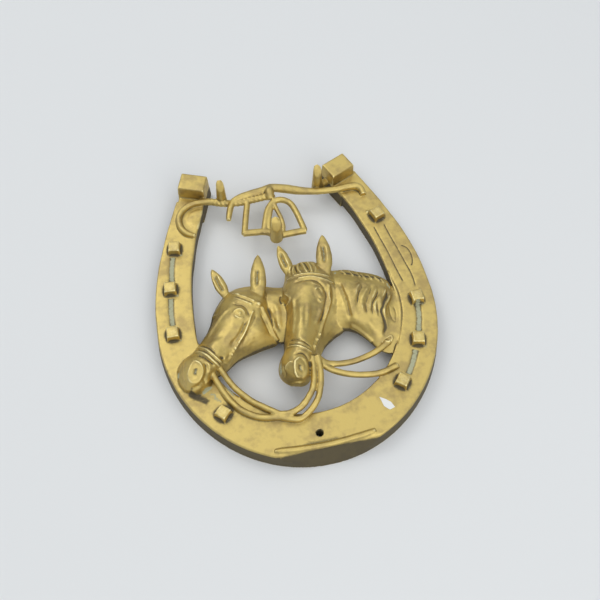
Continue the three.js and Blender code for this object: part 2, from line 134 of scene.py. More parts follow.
def shoe_rings():
    """The shoe's cross-sections: up the outer wall, over the face, down, and round the channel."""
    outer = shoe_edge(HALF_WIDTH, OUTER_DEPTH, OUTER_BRANCH)
    inner = shoe_edge(INNER_HALF_WIDTH, INNER_DEPTH, INNER_BRANCH)
    rings = []
    for out, into in zip(outer, inner):
        across = (into - out) / np.linalg.norm(into - out)

        def outer_point(inset, z, toe_inset=0.0):
            p = out + across * inset
            return (p[0], max(p[1], toe_slope(z, toe_inset)), z)

        def inner_point(inset, z):
            p = into - across * inset
            return (p[0], p[1], z)

        ring = [outer_point(-DRAFT * (1 - z / FACE), z) for z in WALL_LEVELS]
        turn = [math.radians(a) for a in (0, 30, 60, 90)]
        bend = [(EDGE_ROUND * (1 - math.cos(a)), FACE - EDGE_ROUND * (1 - math.sin(a))) for a in turn]
        ring += [outer_point(inset, z, inset) for inset, z in bend]
        start = np.array(ring[-1][:2])
        end = into - across * EDGE_ROUND
        ring += [(*(start + (end - start) * i / FACE_STRIPS), FACE) for i in range(1, FACE_STRIPS)]
        ring += [inner_point(inset, z) for inset, z in reversed(bend)]
        ring += [inner_point(INNER_LEAN * (1 - z / FACE), z) for z in reversed(WALL_LEVELS)]
        ring += [inner_point(RIM, 0), inner_point(RIM, FACE - PLATE)]
        ring += [outer_point(RIM, FACE - PLATE, RIM + TOE_SPARE)]
        ring += [outer_point(RIM - DRAFT, 0, RIM + TOE_SPARE)]
        rings.append(ring)
    return rings


shoe = loft("shoe", shoe_rings())

# A boss stands behind the screw hole, inside the channel.
SCREW_HOLE, SCREW_RADIUS = (-3.2, 7.4), 2.1
BOSS_RADIUS, BOSS_HEIGHT = 5.6, 9.5


def round_post(name, x, y, levels, sides=32):
    """A round body of (height, radius) levels, standing at a place."""
    angle = np.arange(sides) / sides * 2 * math.pi
    ring = np.stack([np.cos(angle), np.sin(angle)], axis=1)
    return loft(name, [np.column_stack([ring * r + (x, y), np.full(sides, z)]) for z, r in levels])


screw_boss = round_post("screw_boss", *SCREW_HOLE, [(0, BOSS_RADIUS), (BOSS_HEIGHT, BOSS_RADIUS)])

# 2. Heels and nails --------------------------------------------------------------------------
# Square calkins stand on the heels' ends. Eight square nail heads, narrowing upwards with
# slightly crowned tops, sit on the branches.

CALKIN_WIDTH, CALKIN_LENGTH, CALKIN_TOP = 16.0, 11.5, 20.0
CALKIN_FLARE, CALKIN_PAD = 1.6, 9.0
CALKINS = [(-44.6, 176.8, -21), (45.5, 170.7, 24)]  # place and turn in degrees
NAILS = [
    (-62.4, 136.4, -10), (-68.6, 109.7, -5), (-71.2, 80.8, -2), (-51.5, 28.3, 44),
    (61.5, 134.6, 22), (69.4, 74.4, 3), (62.9, 48.8, -12), (47.5, 25.9, -38),
]
NAIL_BASE, NAIL_TOP, NAIL_RISE = 7.4, 6.5, 4.9
NAIL_SINK = 0.3  # how far a nail's foot goes into the face
CROWN_SHARE, CROWN_RISE = 0.85, 0.25  # the flat of a nail's crown against its top, and its height
TOP_BREAK, TOP_SHRINK = 0.6, 1.0  # a block's broken top edge: how far down it starts and goes in

brass = bpy.data.materials.new("brass")  # its shader is made in section 9


def block(name, x, y, turn, width, length, height, flare):
    """A four-sided block that narrows upwards, its top edges slightly broken."""
    c, s = math.cos(math.radians(turn)), math.sin(math.radians(turn))
    rings = []
    for z, grow in ((0, flare), (height - TOP_BREAK, 0.05 * flare), (height, -TOP_SHRINK)):
        u, v = (width + grow) / 2, (length + grow) / 2
        corners = [(-u, -v), (u, -v), (u, v), (-u, v)]
        rings.append([(x + c * a - s * b, y + s * a + c * b, z) for a, b in corners])
    return loft(name, rings)


for x, y, turn in CALKINS:
    block("calkin", x, y, turn, CALKIN_WIDTH, CALKIN_LENGTH, CALKIN_TOP, CALKIN_FLARE)
    back = CALKIN_PAD / 2
    pad_x = x + back * math.sin(math.radians(turn))
    pad_y = y - back * math.cos(math.radians(turn))
    pad_length = CALKIN_LENGTH + CALKIN_PAD
    block("heel_pad", pad_x, pad_y, turn, CALKIN_WIDTH, pad_length, FACE, CALKIN_FLARE)


def new_tree(name, inputs):
    """A node tree for a modifier. Each input is its name, its socket's type and its default."""
    tree = bpy.data.node_groups.new(name, "GeometryNodeTree")
    tree.interface.new_socket("Geometry", in_out="INPUT", socket_type="NodeSocketGeometry")
    tree.interface.new_socket("Geometry", in_out="OUTPUT", socket_type="NodeSocketGeometry")
    for label, kind, default in inputs:
        socket = tree.interface.new_socket(label, in_out="INPUT", socket_type=f"NodeSocket{kind}")
        if default is not None:
            socket.default_value = default
    return tree, tree.nodes.new("NodeGroupInput"), tree.nodes.new("NodeGroupOutput")


def node(tree, kind, links=(), **settings):
    """A node with its settings, and its sockets linked or given plain values."""
    made = tree.nodes.new(kind)
    for key, value in settings.items():
        setattr(made, key, value)
    for socket, source in dict(links).items():
        if isinstance(source, bpy.types.NodeSocket):
            tree.links.new(source, made.inputs[socket])
        else:
            made.inputs[socket].default_value = source
    return made


def finish_tree(tree, result, output, material):
    """Ends a tree as every tree here ends: real geometry with its material set."""
    real = node(tree, "GeometryNodeRealizeInstances", {"Geometry": result})
    painted = node(tree, "GeometryNodeSetMaterial", {
        "Geometry": real.outputs[0], "Material": material})
    tree.links.new(painted.outputs[0], output.inputs[0])


def run_tree(name, seeds, edges, tree, attributes, values):
    """Runs a tree once over points and edges, and adds the plain mesh that it gives."""
    mesh = bpy.data.meshes.new(name)
    mesh.from_pydata([tuple(p) for p in seeds], edges, [])
    for label, numbers in attributes.items():
        mesh.attributes.new(label, "FLOAT", "POINT").data.foreach_set("value", numbers)
    body = bpy.data.objects.new(name, mesh)
    bpy.context.collection.objects.link(body)
    modifier = body.modifiers.new(name, "NODES")
    modifier.node_group = tree
    for item in tree.interface.items_tree:
        if item.in_out == "INPUT" and item.name in values:
            modifier[item.identifier] = values[item.name]
    depsgraph = bpy.context.evaluated_depsgraph_get()
    grown = bpy.data.meshes.new_from_object(body.evaluated_get(depsgraph))
    body.modifiers.clear()
    body.data = grown
    parts.append(body)
    return body


def nail_tree():
    """Square heads on points: a frustum with a low crown, turned by each point's `turn`."""
    tree, given, output = new_tree("nail heads", [
        ("Base", "Float", NAIL_BASE), ("Top", "Float", NAIL_TOP), ("Rise", "Float", NAIL_RISE),
        ("Material", "Material", None)])
    corner = math.sqrt(0.5)  # a square's half diagonal for each unit of its side
    radius = [node(tree, "ShaderNodeMath", {0: given.outputs[label], 1: corner}, operation="MULTIPLY")
              for label in ("Base", "Top")]
    crown = node(tree, "ShaderNodeMath", {
        0: given.outputs["Top"], 1: corner * CROWN_SHARE}, operation="MULTIPLY")
    head = node(tree, "GeometryNodeMeshCone", {
        "Vertices": 4, "Radius Bottom": radius[0].outputs[0], "Radius Top": radius[1].outputs[0],
        "Depth": given.outputs["Rise"]})
    cap = node(tree, "GeometryNodeMeshCone", {
        "Vertices": 4, "Radius Bottom": radius[1].outputs[0], "Radius Top": crown.outputs[0],
        "Depth": CROWN_RISE})
    lift = node(tree, "ShaderNodeCombineXYZ", {"Z": given.outputs["Rise"]})
    raised = node(tree, "GeometryNodeTransform", {
        "Geometry": cap.outputs[0], "Translation": lift.outputs[0]})
    both = node(tree, "GeometryNodeJoinGeometry")
    for mesh in (head, raised):
        tree.links.new(mesh.outputs[0], both.inputs[0])
    turn = node(tree, "GeometryNodeInputNamedAttribute", {"Name": "turn"}, data_type="FLOAT")
    euler = node(tree, "ShaderNodeCombineXYZ", {"Z": turn.outputs[0]})
    rotation = node(tree, "FunctionNodeEulerToRotation", {0: euler.outputs[0]})
    points = node(tree, "GeometryNodeMeshToPoints", {"Mesh": given.outputs["Geometry"]})
    heads = node(tree, "GeometryNodeInstanceOnPoints", {
        "Points": points.outputs[0], "Instance": both.outputs[0], "Rotation": rotation.outputs[0]})
    finish_tree(tree, heads.outputs[0], output, given.outputs["Material"])
    return tree


CORNER_TURN = 45  # a four-sided cone has its corners, not its sides, on the axes
run_tree(
    "nails", [(x, y, FACE - NAIL_SINK) for x, y, _ in NAILS], [], nail_tree(),
    {"turn": [math.radians(turn + CORNER_TURN) for _, _, turn in NAILS]}, {"Material": brass})

# 3. Bars and cords ---------------------------------------------------------------------------
# The rack's slender parts were all modelled as cord in wax: the clip, the whip with its twisted
# lash and knot, the ring, and the stirrups with their leathers, which share the open heels.


def cord_tree():
    """Round bars along paths, or strands laid round them, as wide as each point's `width`."""
    tree, given, output = new_tree("cord", [
        ("Sides", "Int", 12), ("Step", "Float", 0.7), ("Flatten", "Float", 1.0), ("Strands", "Int", 1),
        ("Pitch", "Float", 6.0), ("Lay", "Float", 0.0), ("Strand Size", "Float", 1.0),
        ("Material", "Material", None)])
    curve = node(tree, "GeometryNodeMeshToCurve", {"Mesh": given.outputs["Geometry"]})
    rounded = node(tree, "GeometryNodeCurveSplineType", {"Curve": curve.outputs[0]},
                   spline_type="CATMULL_ROM")
    even = node(tree, "GeometryNodeResampleCurve", {
        "Curve": rounded.outputs[0], "Length": given.outputs["Step"]}, mode="LENGTH")
    level = node(tree, "GeometryNodeSetCurveNormal", {"Curve": even.outputs[0]}, mode="Z_UP")
    strands = node(tree, "GeometryNodeDuplicateElements", {
        "Geometry": level.outputs[0], "Amount": given.outputs["Strands"]}, domain="SPLINE")
    width = node(tree, "GeometryNodeInputNamedAttribute", {"Name": "width"}, data_type="FLOAT")
    along = node(tree, "GeometryNodeSplineParameter")
    turns = node(tree, "ShaderNodeMath", {0: along.outputs["Length"], 1: given.outputs["Pitch"]},
                 operation="DIVIDE")
    share = node(tree, "ShaderNodeMath", {
        0: strands.outputs["Duplicate Index"], 1: given.outputs["Strands"]}, operation="DIVIDE")
    phase = node(tree, "ShaderNodeMath", {0: turns.outputs[0], 1: share.outputs[0]}, operation="ADD")
    angle = node(tree, "ShaderNodeMath", {0: phase.outputs[0], 1: 2 * math.pi}, operation="MULTIPLY")
    tangent = node(tree, "GeometryNodeInputTangent")
    normal = node(tree, "GeometryNodeInputNormal")
    spin = node(tree, "FunctionNodeAxisAngleToRotation", {
        "Axis": tangent.outputs[0], "Angle": angle.outputs[0]})
    outward = node(tree, "FunctionNodeRotateVector", {
        "Vector": normal.outputs[0], "Rotation": spin.outputs[0]})
    reach = node(tree, "ShaderNodeMath", {0: width.outputs[0], 1: given.outputs["Lay"]},
                 operation="MULTIPLY")
    offset = node(tree, "ShaderNodeVectorMath", {0: outward.outputs[0], "Scale": reach.outputs[0]},
                  operation="SCALE")
    laid = node(tree, "GeometryNodeSetPosition", {
        "Geometry": strands.outputs[0], "Offset": offset.outputs[0]})
    circle = node(tree, "GeometryNodeCurvePrimitiveCircle", {
        "Resolution": given.outputs["Sides"], "Radius": 1.0})
    squash = node(tree, "ShaderNodeCombineXYZ", {"X": 1.0, "Y": given.outputs["Flatten"], "Z": 1.0})
    profile = node(tree, "GeometryNodeTransform", {
        "Geometry": circle.outputs[0], "Scale": squash.outputs[0]})
    size = node(tree, "ShaderNodeMath", {0: width.outputs[0], 1: given.outputs["Strand Size"]},
                operation="MULTIPLY")
    skin = node(tree, "GeometryNodeCurveToMesh", {
        "Curve": laid.outputs[0], "Profile Curve": profile.outputs[0], "Scale": size.outputs[0],
        "Fill Caps": True})
    finish_tree(tree, skin.outputs[0], output, given.outputs["Material"])
    return tree


CORD = cord_tree()


def cords(name, paths, radius, **inputs):
    """Bars along given paths. A point's fourth number, where it has one, is its own radius."""
    seeds, edges, widths = [], [], []
    for path in paths:
        first = len(seeds)
        edges += [(first + i, first + i + 1) for i in range(len(path) - 1)]
        seeds += [point[:3] for point in path]
        widths += [point[3] if len(point) > 3 else radius for point in path]
    values = {key.replace("_", " ").title(): value for key, value in inputs.items()}
    return run_tree(name, seeds, edges, CORD, {"width": widths}, {"Material": brass, **values})


# Each path is a list of (x, y, height), with the bar's own radius as a fourth number in places.
CLIP = [
    (-28.5, 2.4, FACE, 1.0), (-24, 1.7, FACE, 1.5), (-12, 0.6, FACE), (3, 0.2, FACE), (20, 1.4, FACE),
    (26, 2.4, FACE, 1.1),
]
cords("clip", [CLIP], 1.5)

WHIP = [
    (57.2, 150.7, 12.5, 1.8), (56.6, 155.2, 12.8, 2.2), (53.4, 157.6, 13.2, 2.3),
    (47.2, 157.8, 13.4, 2.2), (41.4, 157.4, 13.4, 2.1), (31.4, 158.4, 13.2, 2.1), (24.2, 160, 13, 2.3),
    (17.2, 162.2, 13, 2.7), (10.9, 164.4, 13.4, 2.8), (2.6, 166.4, 14, 2.6), (-3.4, 165.7, 14, 2.4),
    (-11, 164.9, 13.8, 2.3), (-17.5, 163.8, 13.6, 2.2), (-22.8, 161.3, 13.2, 2.1),
    (-25.6, 155.5, 12.8, 2), (-27.4, 149.5, 12.4, 1.6),
]
LASH = [
    (-42, 167, 12), (-35, 164.9, 12.5), (-29.3, 162.6, 12.5), (-23.2, 161.4, 12.5), (-18.3, 160.9, 12.5),
    (-12, 161.1, 12.6), (-4.4, 161.3, 13), (3, 161.8, 13.4),
]
KNOT = [(2.5, 168, 13.4, 2.2), (0.5, 163.4, 14.9, 2.7), (0.6, 158.5, 13.4, 2.4)]
RING = [
    (-27.4, 162.2, 12.6, 1.2), (-34.4, 164.5, 12.8), (-42.2, 166, 12.8), (-48.4, 165.4, 12.8),
    (-53.9, 162.2, 12.6), (-56.8, 157, 12.4), (-56.4, 150.6, 12.2), (-53.4, 145.8, 12),
    (-48.9, 143.4, 11.8, 1.4),
]
PEG_WEB = [(30.5, 159, 11.5), (31.4, 163.5, 10.5), (37.5, 167, 9.5)]
cords("whip", [WHIP], 2.4)
cords("lash", [LASH], 2.2, strands=3, pitch=7.5, lay=0.5, strand_size=0.58)
cords("knot", [KNOT], 2.6)
cords("ring", [RING], 1.85)
cords("peg_web", [PEG_WEB], 2.6)

STIRRUP_LEFT = [(-13.6, 161, 12.6), (-15.4, 154.5, 12.6), (-17.2, 148, 12.4), (-19.8, 137.6, 12.2)]
STIRRUP_ARCH = [
    (-8.2, 135.4, 12.2), (-5.5, 144.7, 12.6), (-2.3, 152.4, 13), (2.2, 156.7, 13.2), (6.9, 157, 13.2),
    (11.4, 153.8, 13), (13.7, 147.6, 12.6), (15.2, 139.5, 12.4), (16.2, 132.6, 12.2),
]
FOOT_LEFT = [(-20.4, 138.6, 12.2), (-14, 137.9, 12.2), (-7, 136.8, 12.2), (-1.5, 133.4, 12.2)]
FOOT_RIGHT = [(-1.5, 132.4, 12.2), (6, 132.6, 12.2), (12, 132.7, 12.2), (17, 132.6, 12.2)]
LEATHERS = [
    [(0.6, 157, 13.2), (-1, 151, 13), (-3.4, 144, 12.8), (-4.6, 138, 12.4), (-4, 133.5, 12.2)],
    [(1.6, 157, 13.2), (2.6, 151, 13), (4, 144, 12.8), (4.2, 138, 12.4), (2.8, 133.5, 12.2)],
]
cords("stirrups", [STIRRUP_LEFT, STIRRUP_ARCH], 1.95)
cords("stirrup_feet", [FOOT_LEFT, FOOT_RIGHT], 2.1)
cords("leathers", LEATHERS, 1.4)

# 4. Peg hooks --------------------------------------------------------------------------------
# Three tapering stems to hang keys on, at the two ends of the whip and between the stirrups.
# Their tips are cut off at a slant towards the toe and polished by use.

PEG_TOP, PEG_BASE, PEG_TIP = 30.0, 3.3, 2.3  # height, and the radii at foot and tip
PEG_RINGS = 26
PEG_SLANT = math.radians(58)
PEG_FLAT = 1.7  # how far behind its axis a peg's cut reaches full height
PEGS = [(-28.8, 165.4, 9, 1), (30.9, 164, 9, 1.05), (-1.3, 132, 10.5, 1.2)]  # place, foot, stoutness


def peg(x, y, foot, stout, sides=32):
    """A stem of rings, those near the top tilted over until they lie in the slanting cut."""
    angle = np.arange(sides) / sides * 2 * math.pi
    rings = []
    for t in np.linspace(0, 1, PEG_RINGS):
        radius = stout * (PEG_BASE + (PEG_TIP - PEG_BASE) * t)
        px, py = radius * np.cos(angle), radius * np.sin(angle)
        z = foot + (PEG_TOP - foot) * t
        cut = PEG_TOP + (py - PEG_FLAT) * math.tan(PEG_SLANT)
        rings.append(np.stack([x + px, y + py, np.minimum(np.full(sides, z), cut)], axis=1))
    return loft("peg", rings)


for place in PEGS:
    peg(*place)

# 5. The horses -------------------------------------------------------------------------------
# Two bridled heads in high relief. The left one looks down to the left and lies on the shoe's
# branch, the right one hangs its head in front, and its neck runs into the other branch.

SHELL = 4.5  # metal over the hollow behind each head
END_FILL = 20.0  # how much more metal closes a relief's two ends

# A relief runs along a line on the plan. Each row crosses it: how far along it starts and ends,
# its underside's height, then (across, height) points from one edge to the other.
LEFT_HEAD = ((-25, 103), (-67, 43), [
    (6.5, -5, 7, [(-8.5, 9), (-4.5, 12), (1, 13), (7, 12.5), (10.5, 9.5)]),
    (12, 7.5, 7, [(-10.5, 8.5), (-6, 15), (3, 19.5), (12, 19), (18, 13)]),
    (21.5, 17.5, 7, [(-11, 8.5), (-7, 15), (3, 21.5), (14, 19.5), (24.5, 12.5)]),
    (30, 25, 7, [(-9.5, 8.5), (-6, 15), (4, 22), (17, 18.5), (31, 9)]),
    (38, 34, 7, [(-9, 9), (-5, 15.5), (4, 22), (14.5, 17.5), (23.5, 8.5)]),
    (45.5, 44, 7, [(-9.5, 10), (-5.5, 16), (2.5, 22), (10, 18), (15, 9.5)]),
    (51, 52.5, 7, [(-10, 10.5), (-6.5, 17), (1.5, 22.5), (8, 19), (11.5, 11)]),
    (57, 59.5, 7, [(-13, 10.5), (-10, 17), (-1.5, 23.5), (5, 20), (7.5, 11)]),
    (64, 65.5, 7, [(-13, 10.5), (-10, 17), (-2, 23.5), (5, 19.5), (8, 11)]),
    (70, 69.5, 7, [(-9, 10.5), (-6.5, 16), (-1, 21), (3.5, 17.5), (6, 11)]),
    (73, 72, 7, [(-4, 10.5), (-2.5, 14), (0.5, 16.5), (2.5, 14.5), (3.5, 10.5)]),
])
RIGHT_HEAD = ((9, 110), (-10, 34), [
    (-0.5, -1, 9, [(-1.5, 13), (1, 14.5), (4, 15), (7, 14.5), (9.5, 13)]),
    (5, 2.5, 8, [(-8.5, 12), (-4.5, 16), (3.5, 18), (12, 16), (17, 12)]),
    (11.5, 12, 7, [(-9.5, 11), (-6, 17.5), (4, 22), (14, 19.5), (21.5, 13)]),
    (19.5, 23.5, 7, [(-11, 10), (-8, 18), (3, 24), (14, 20), (26, 12)]),
    (26.5, 33.5, 7, [(-10, 9.5), (-6.5, 19), (3, 25), (13, 20), (27, 11.5)]),
    (33, 40.5, 7, [(-8.5, 9.5), (-5, 19.5), (2, 26), (11, 20), (26, 9)]),
    (43, 46, 7, [(-8, 9.5), (-5, 20), (1.5, 27), (10, 21), (20, 9)]),
    (51, 52, 7.5, [(-8, 9.5), (-5, 20.5), (1.5, 27.5), (8.5, 21.5), (15, 9.5)]),
    (57.5, 59.5, 9, [(-8, 11), (-5.5, 21), (1, 27.5), (7, 22.5), (12, 12)]),
    (64, 67, 11, [(-10, 13.5), (-7.5, 22), (-0.5, 28), (5.5, 23), (8, 14)]),
    (70.5, 73, 12, [(-10, 14), (-8, 21.5), (-0.5, 28), (5, 22.5), (7.5, 14.5)]),
    (75, 76.5, 13, [(-7.5, 14.5), (-5.5, 19.5), (-0.5, 24.5), (4, 20), (5.5, 14.5)]),
    (78, 78, 14, [(-3, 15.5), (-2, 17.5), (0.5, 19), (2.5, 17.5), (3, 15.5)]),
])
RIGHT_NECK = ((22, 85), (60, 66), [
    (-5, 7.5, 7, [(17, 12), (7.5, 15), (-4.5, 15.5), (-14, 14), (-19.5, 9)]),
    (3.5, 13, 7, [(21, 10), (9, 17), (-2.5, 18), (-11.5, 16), (-17, 9)]),
    (11, 20, 7, [(21.5, 10), (10, 16.5), (-2, 17.5), (-12.5, 15.5), (-17.5, 9)]),
    (20, 26.5, 7, [(22, 10), (12, 15), (-1, 16), (-13, 14.5), (-20.5, 9)]),
    (28, 32.5, 7, [(20, 10), (11, 13.5), (-1.5, 14.5), (-13, 13.5), (-24, 9)]),
    (33, 37, 7, [(16, 9.5), (9, 11.2), (-1.5, 11.5), (-12.5, 11.2), (-25, 8.5)]),
    (37.5, 43, 7, [(16, 9.5), (10, 10.5), (0, 10.5), (-11, 10.5), (-24, 8.5)]),
])
LEFT_NECK = ((-15, 83), (-1, 83), [
    (0, 0, 7, [(19, 9.5), (12, 13.5), (0, 14.5), (-10, 13.5), (-18, 9)]),
    (5, 5, 7, [(17, 9.5), (10, 13.5), (0, 14.5), (-12, 13.5), (-19, 9)]),
    (11, 11, 7, [(16, 9.5), (10, 13.5), (0, 14.5), (-12, 13.5), (-18, 9)]),
    (15, 15, 7, [(19, 9.5), (12, 13.5), (0, 14.5), (-12, 13.5), (-16, 9)]),
])


def relief(name, line, across=12, between=10):
    """A closed shell: the rows smoothed both ways above, and the same surface lower down below."""
    start, end, rows = np.array(line[0], float), np.array(line[1], float), line[2]
    ahead = (end - start) / np.linalg.norm(end - start)
    aside = np.array([-ahead[1], ahead[0]])
    profiles = []
    for first, last, under, top in rows:
        edge, span = top[0][0], top[-1][0] - top[0][0]
        points = []
        for offset, z in top:
            along = first + (last - first) * (offset - edge) / span
            points.append([*(start + ahead * along + aside * offset), z])
        line_points = smooth(points, across)
        profiles.append(np.column_stack([line_points, np.full(len(line_points), under)]))
    profiles = np.array(profiles)
    columns = [smooth(profiles[:, j], between) for j in range(profiles.shape[1])]
    sheet = np.array(columns).transpose(1, 0, 2)
    rings = []
    for i, row in enumerate(sheet):
        inset = min(i, len(sheet) - 1 - i) / between
        shell = SHELL + END_FILL * max(0.0, 1 - inset)
        below = row[::-1, :3].copy()
        below[:, 2] = np.maximum(row[::-1, 3], below[:, 2] - shell)
        below[[0, -1], 2] = row[[-1, 0], 3]
        rings.append(np.vstack([row[:, :3], below]))
    return loft(name, rings)


relief("left_head", LEFT_HEAD)
relief("right_head", RIGHT_HEAD)
relief("right_neck", RIGHT_NECK)
relief("left_neck", LEFT_NECK)

EARS = [  # base, tip, width, thickness
    ((-37.6, 98.2, 11.5), (-43.2, 116.6, 15), 7.2, 4.2),
    ((-20, 91, 16), (-15, 119.4, 17), 9.4, 4.8),
    ((1.2, 102.6, 14), (-2.2, 123.4, 16.5), 7.6, 4.2),
    ((21, 98.6, 16), (24.8, 124, 18), 9.6, 4.8),
]
# How wide an ear is, as shares of its width, from its base (0) to its tip (1).
EAR_OUTLINE = [(0, 0.3), (0.1, 0.36), (0.34, 0.5), (0.66, 0.42), (0.9, 0.2), (1, 0.02)]


def ear(base, tip, width, thickness, sides=28):
    """A leaf-shaped lobe along its axis. Its hollow is carved later, with the faces."""
    base, tip = np.array(base, float), np.array(tip, float)
    axis = (tip - base) / np.linalg.norm(tip - base)
    aside = np.cross(axis, (0, 0, 1))
    aside /= np.linalg.norm(aside)
    facing = np.cross(aside, axis)
    angle = np.arange(sides) / sides * 2 * math.pi
    rings = []
    for t, r in smooth(EAR_OUTLINE, 6):
        across = np.outer(np.cos(angle) * r * width, aside)
        through = np.outer(np.sin(angle) * r * thickness, facing)
        rings.append(base + (tip - base) * t + across + through)
    return loft("ear", rings)


for shape in EARS:
    ear(*shape)

# 6. Reins ------------------------------------------------------------------------------------
# Pairs of reins hang free of the heads: one pair runs from the left horse's bit to the right
# horse's, and the other goes on from there to the right branch.

REINS = [
    [(-49, 54, 15.5), (-46, 47, 14), (-42, 40, 13), (-36.2, 33, 12.5), (-30.4, 27.9, 12.5),
     (-22, 21.4, 13)],
    [(-54, 54, 15), (-51.2, 45, 13.4), (-47.5, 36.5, 12.6), (-43, 29.6, 12.4), (-37.6, 24.8, 12.4),
     (-31, 21.6, 12.4), (-22, 19.6, 13)],
    [(-22, 21.4, 13), (-15.9, 20.6, 14), (-9.2, 22.8, 15), (-3.8, 28, 16), (-1.3, 32, 16.8),
     (0.5, 38, 17.5), (1.6, 48, 19.4)],
    [(-22, 19.6, 13), (-16.7, 17.4, 13), (-11.2, 16.6, 13), (-4.6, 20.4, 14), (-0.2, 25.2, 15),
     (2.4, 30.8, 16), (4.2, 38, 17.2), (4.6, 48, 19.2)],
    [(4, 48, 19), (8.5, 44, 16), (14.9, 42.9, 14), (23, 43, 12.6), (30.6, 44.2, 12.2), (38.3, 46.5, 12),
     (47, 51, 11.6)],
    [(4, 48, 18.6), (7.6, 42.4, 16), (13, 38.6, 14.4), (21.2, 35.4, 13.4), (30.8, 33.6, 12.5),
     (39, 33.7, 12), (47.5, 36, 11.6)],
]
cords("reins", REINS, 1.8)

# 7. One casting ------------------------------------------------------------------------------
# All of it left the mould as one piece of metal, with the soft inner corners of a casting. The
# screw hole is drilled upright through the toe.

GRAIN = 0.36  # spacing of the fused surface


def turn_outward(mesh):
    """Makes all the faces of a closed mesh look out of it."""
    shape = bmesh.new()
    shape.from_mesh(mesh)
    bmesh.ops.recalc_face_normals(shape, faces=shape.faces)
    shape.to_mesh(mesh)
    shape.free()


def drill(bodies, cutter):
    """Cuts one body out of others, and throws it away."""
    for body in [cutter, *bodies]:
        turn_outward(body.data)
    for body in bodies:
        cut = body.modifiers.new("drill", "BOOLEAN")
        cut.object = cutter
        depsgraph = bpy.context.evaluated_depsgraph_get()
        drilled = bpy.data.meshes.new_from_object(body.evaluated_get(depsgraph))
        body.modifiers.clear()
        body.data = drilled
    parts.remove(cutter)
    bpy.data.objects.remove(cutter)


screw_hole = round_post("screw_hole", *SCREW_HOLE, [(-FACE, SCREW_RADIUS), (2 * FACE, SCREW_RADIUS)])
drill([shoe, screw_boss], screw_hole)


def fused(bodies):
    """One closed mesh round all the bodies, which it uses up."""
    bpy.ops.object.select_all(action="DESELECT")
    for body in bodies:
        body.select_set(True)
    bpy.context.view_layer.objects.active = bodies[0]
    bpy.ops.object.join()
    whole = bpy.context.view_layer.objects.active
    remesh = whole.modifiers.new("fuse", "REMESH")
    remesh.mode = "VOXEL"
    remesh.voxel_size = GRAIN
    depsgraph = bpy.context.evaluated_depsgraph_get()
    mesh = bpy.data.meshes.new_from_object(whole.evaluated_get(depsgraph))
    bpy.data.objects.remove(whole)
    return mesh


def read(items, label, width, kind=np.float32):
    """One property of a mesh's points or edges, as a row of numbers for each."""
    values = np.empty(len(items) * width, kind)
    items.foreach_get(label, values)
    return values.reshape(-1, width)


mesh = fused(parts)

count = len(mesh.vertices)
place = read(mesh.vertices, "co", 3).astype(float)
edge_from, edge_to = read(mesh.edges, "vertices", 2, np.int32).T
valence = np.bincount(edge_from, minlength=count) + np.bincount(edge_to, minlength=count)


def relaxed(values, steps):
    """Rows of values, one for each point, moved towards their neighbours' mean step by step."""
    values = values.copy()
    for _ in range(steps):
        for k in range(values.shape[1]):
            column = values[:, k]
            total = np.bincount(edge_from, column[edge_to], count)
            total = total + np.bincount(edge_to, column[edge_from], count)
            values[:, k] = 0.5 * column + 0.5 * total / valence
    return values


def normals_of(points):
    """The surface's normals with its points moved there."""
    mesh.vertices.foreach_set("co", points.astype(np.float32).ravel())
    mesh.update()
    return read(mesh.vertices, "normal", 3).astype(float)


place = relaxed(place, 2)
facing = normals_of(relaxed(place, 5))

# 8. Carving ----------------------------------------------------------------------------------
# The founder cut eyes, nostrils, straps, hair and worn marks into the pattern by hand. Each
# stroke here raises or sinks the surface along a line or within an oval on the plan.

NO_STROKE, FULL_STROKE = -0.1, 0.25  # upward parts of the normal where strokes stop and are whole
above = np.clip((facing[:, 2] - NO_STROKE) / (FULL_STROKE - NO_STROKE), 0, 1)


def near_line(points, reach, where, ready):
    """The points of a surface within reach of a line: which, how far, and how far along (0 to 1)."""
    line = smooth(points, 6)[:, :2] if len(points) > 2 else np.asarray(points, float)[:, :2]
    low, high = line.min(axis=0) - reach, line.max(axis=0) + reach
    inside = np.all((where[:, :2] > low) & (where[:, :2] < high), axis=1)
    near = np.flatnonzero(inside & ready)
    spot = where[near, :2]
    runs = np.concatenate([[0], np.cumsum(np.linalg.norm(np.diff(line, axis=0), axis=1))])
    best = np.full(len(near), np.inf)
    along = np.zeros(len(near))
    for i in range(len(line) - 1):
        step = line[i + 1] - line[i]
        t = np.clip((spot - line[i]) @ step / (step @ step + 1e-12), 0, 1)
        away = np.linalg.norm(spot - line[i] - t[:, None] * step, axis=1)
        closer = away < best
        best[closer] = away[closer]
        along[closer] = (runs[i] + t[closer] * (runs[i + 1] - runs[i])) / runs[-1]
    kept = best < reach
    return near[kept], best[kept], along[kept]


def ends_faded(along, fade):
    """How strong a stroke is along its line, when this share of it fades in and out."""
    if fade <= 0:
        return np.ones_like(along)
    t = np.clip(np.minimum(along, 1 - along) / fade, 0, 1)
    return t * t * (3 - 2 * t)


def stroke(points, width, lift, fade=0.2):
    """Raises a rounded ridge along a line, or sinks a groove."""
    near, away, along = near_line(points, width, place, above > 0)
    fall = (1 - (away / width) ** 2) ** 2 * ends_faded(along, fade) * above[near]
    place[near] += facing[near] * (lift * fall)[:, None]


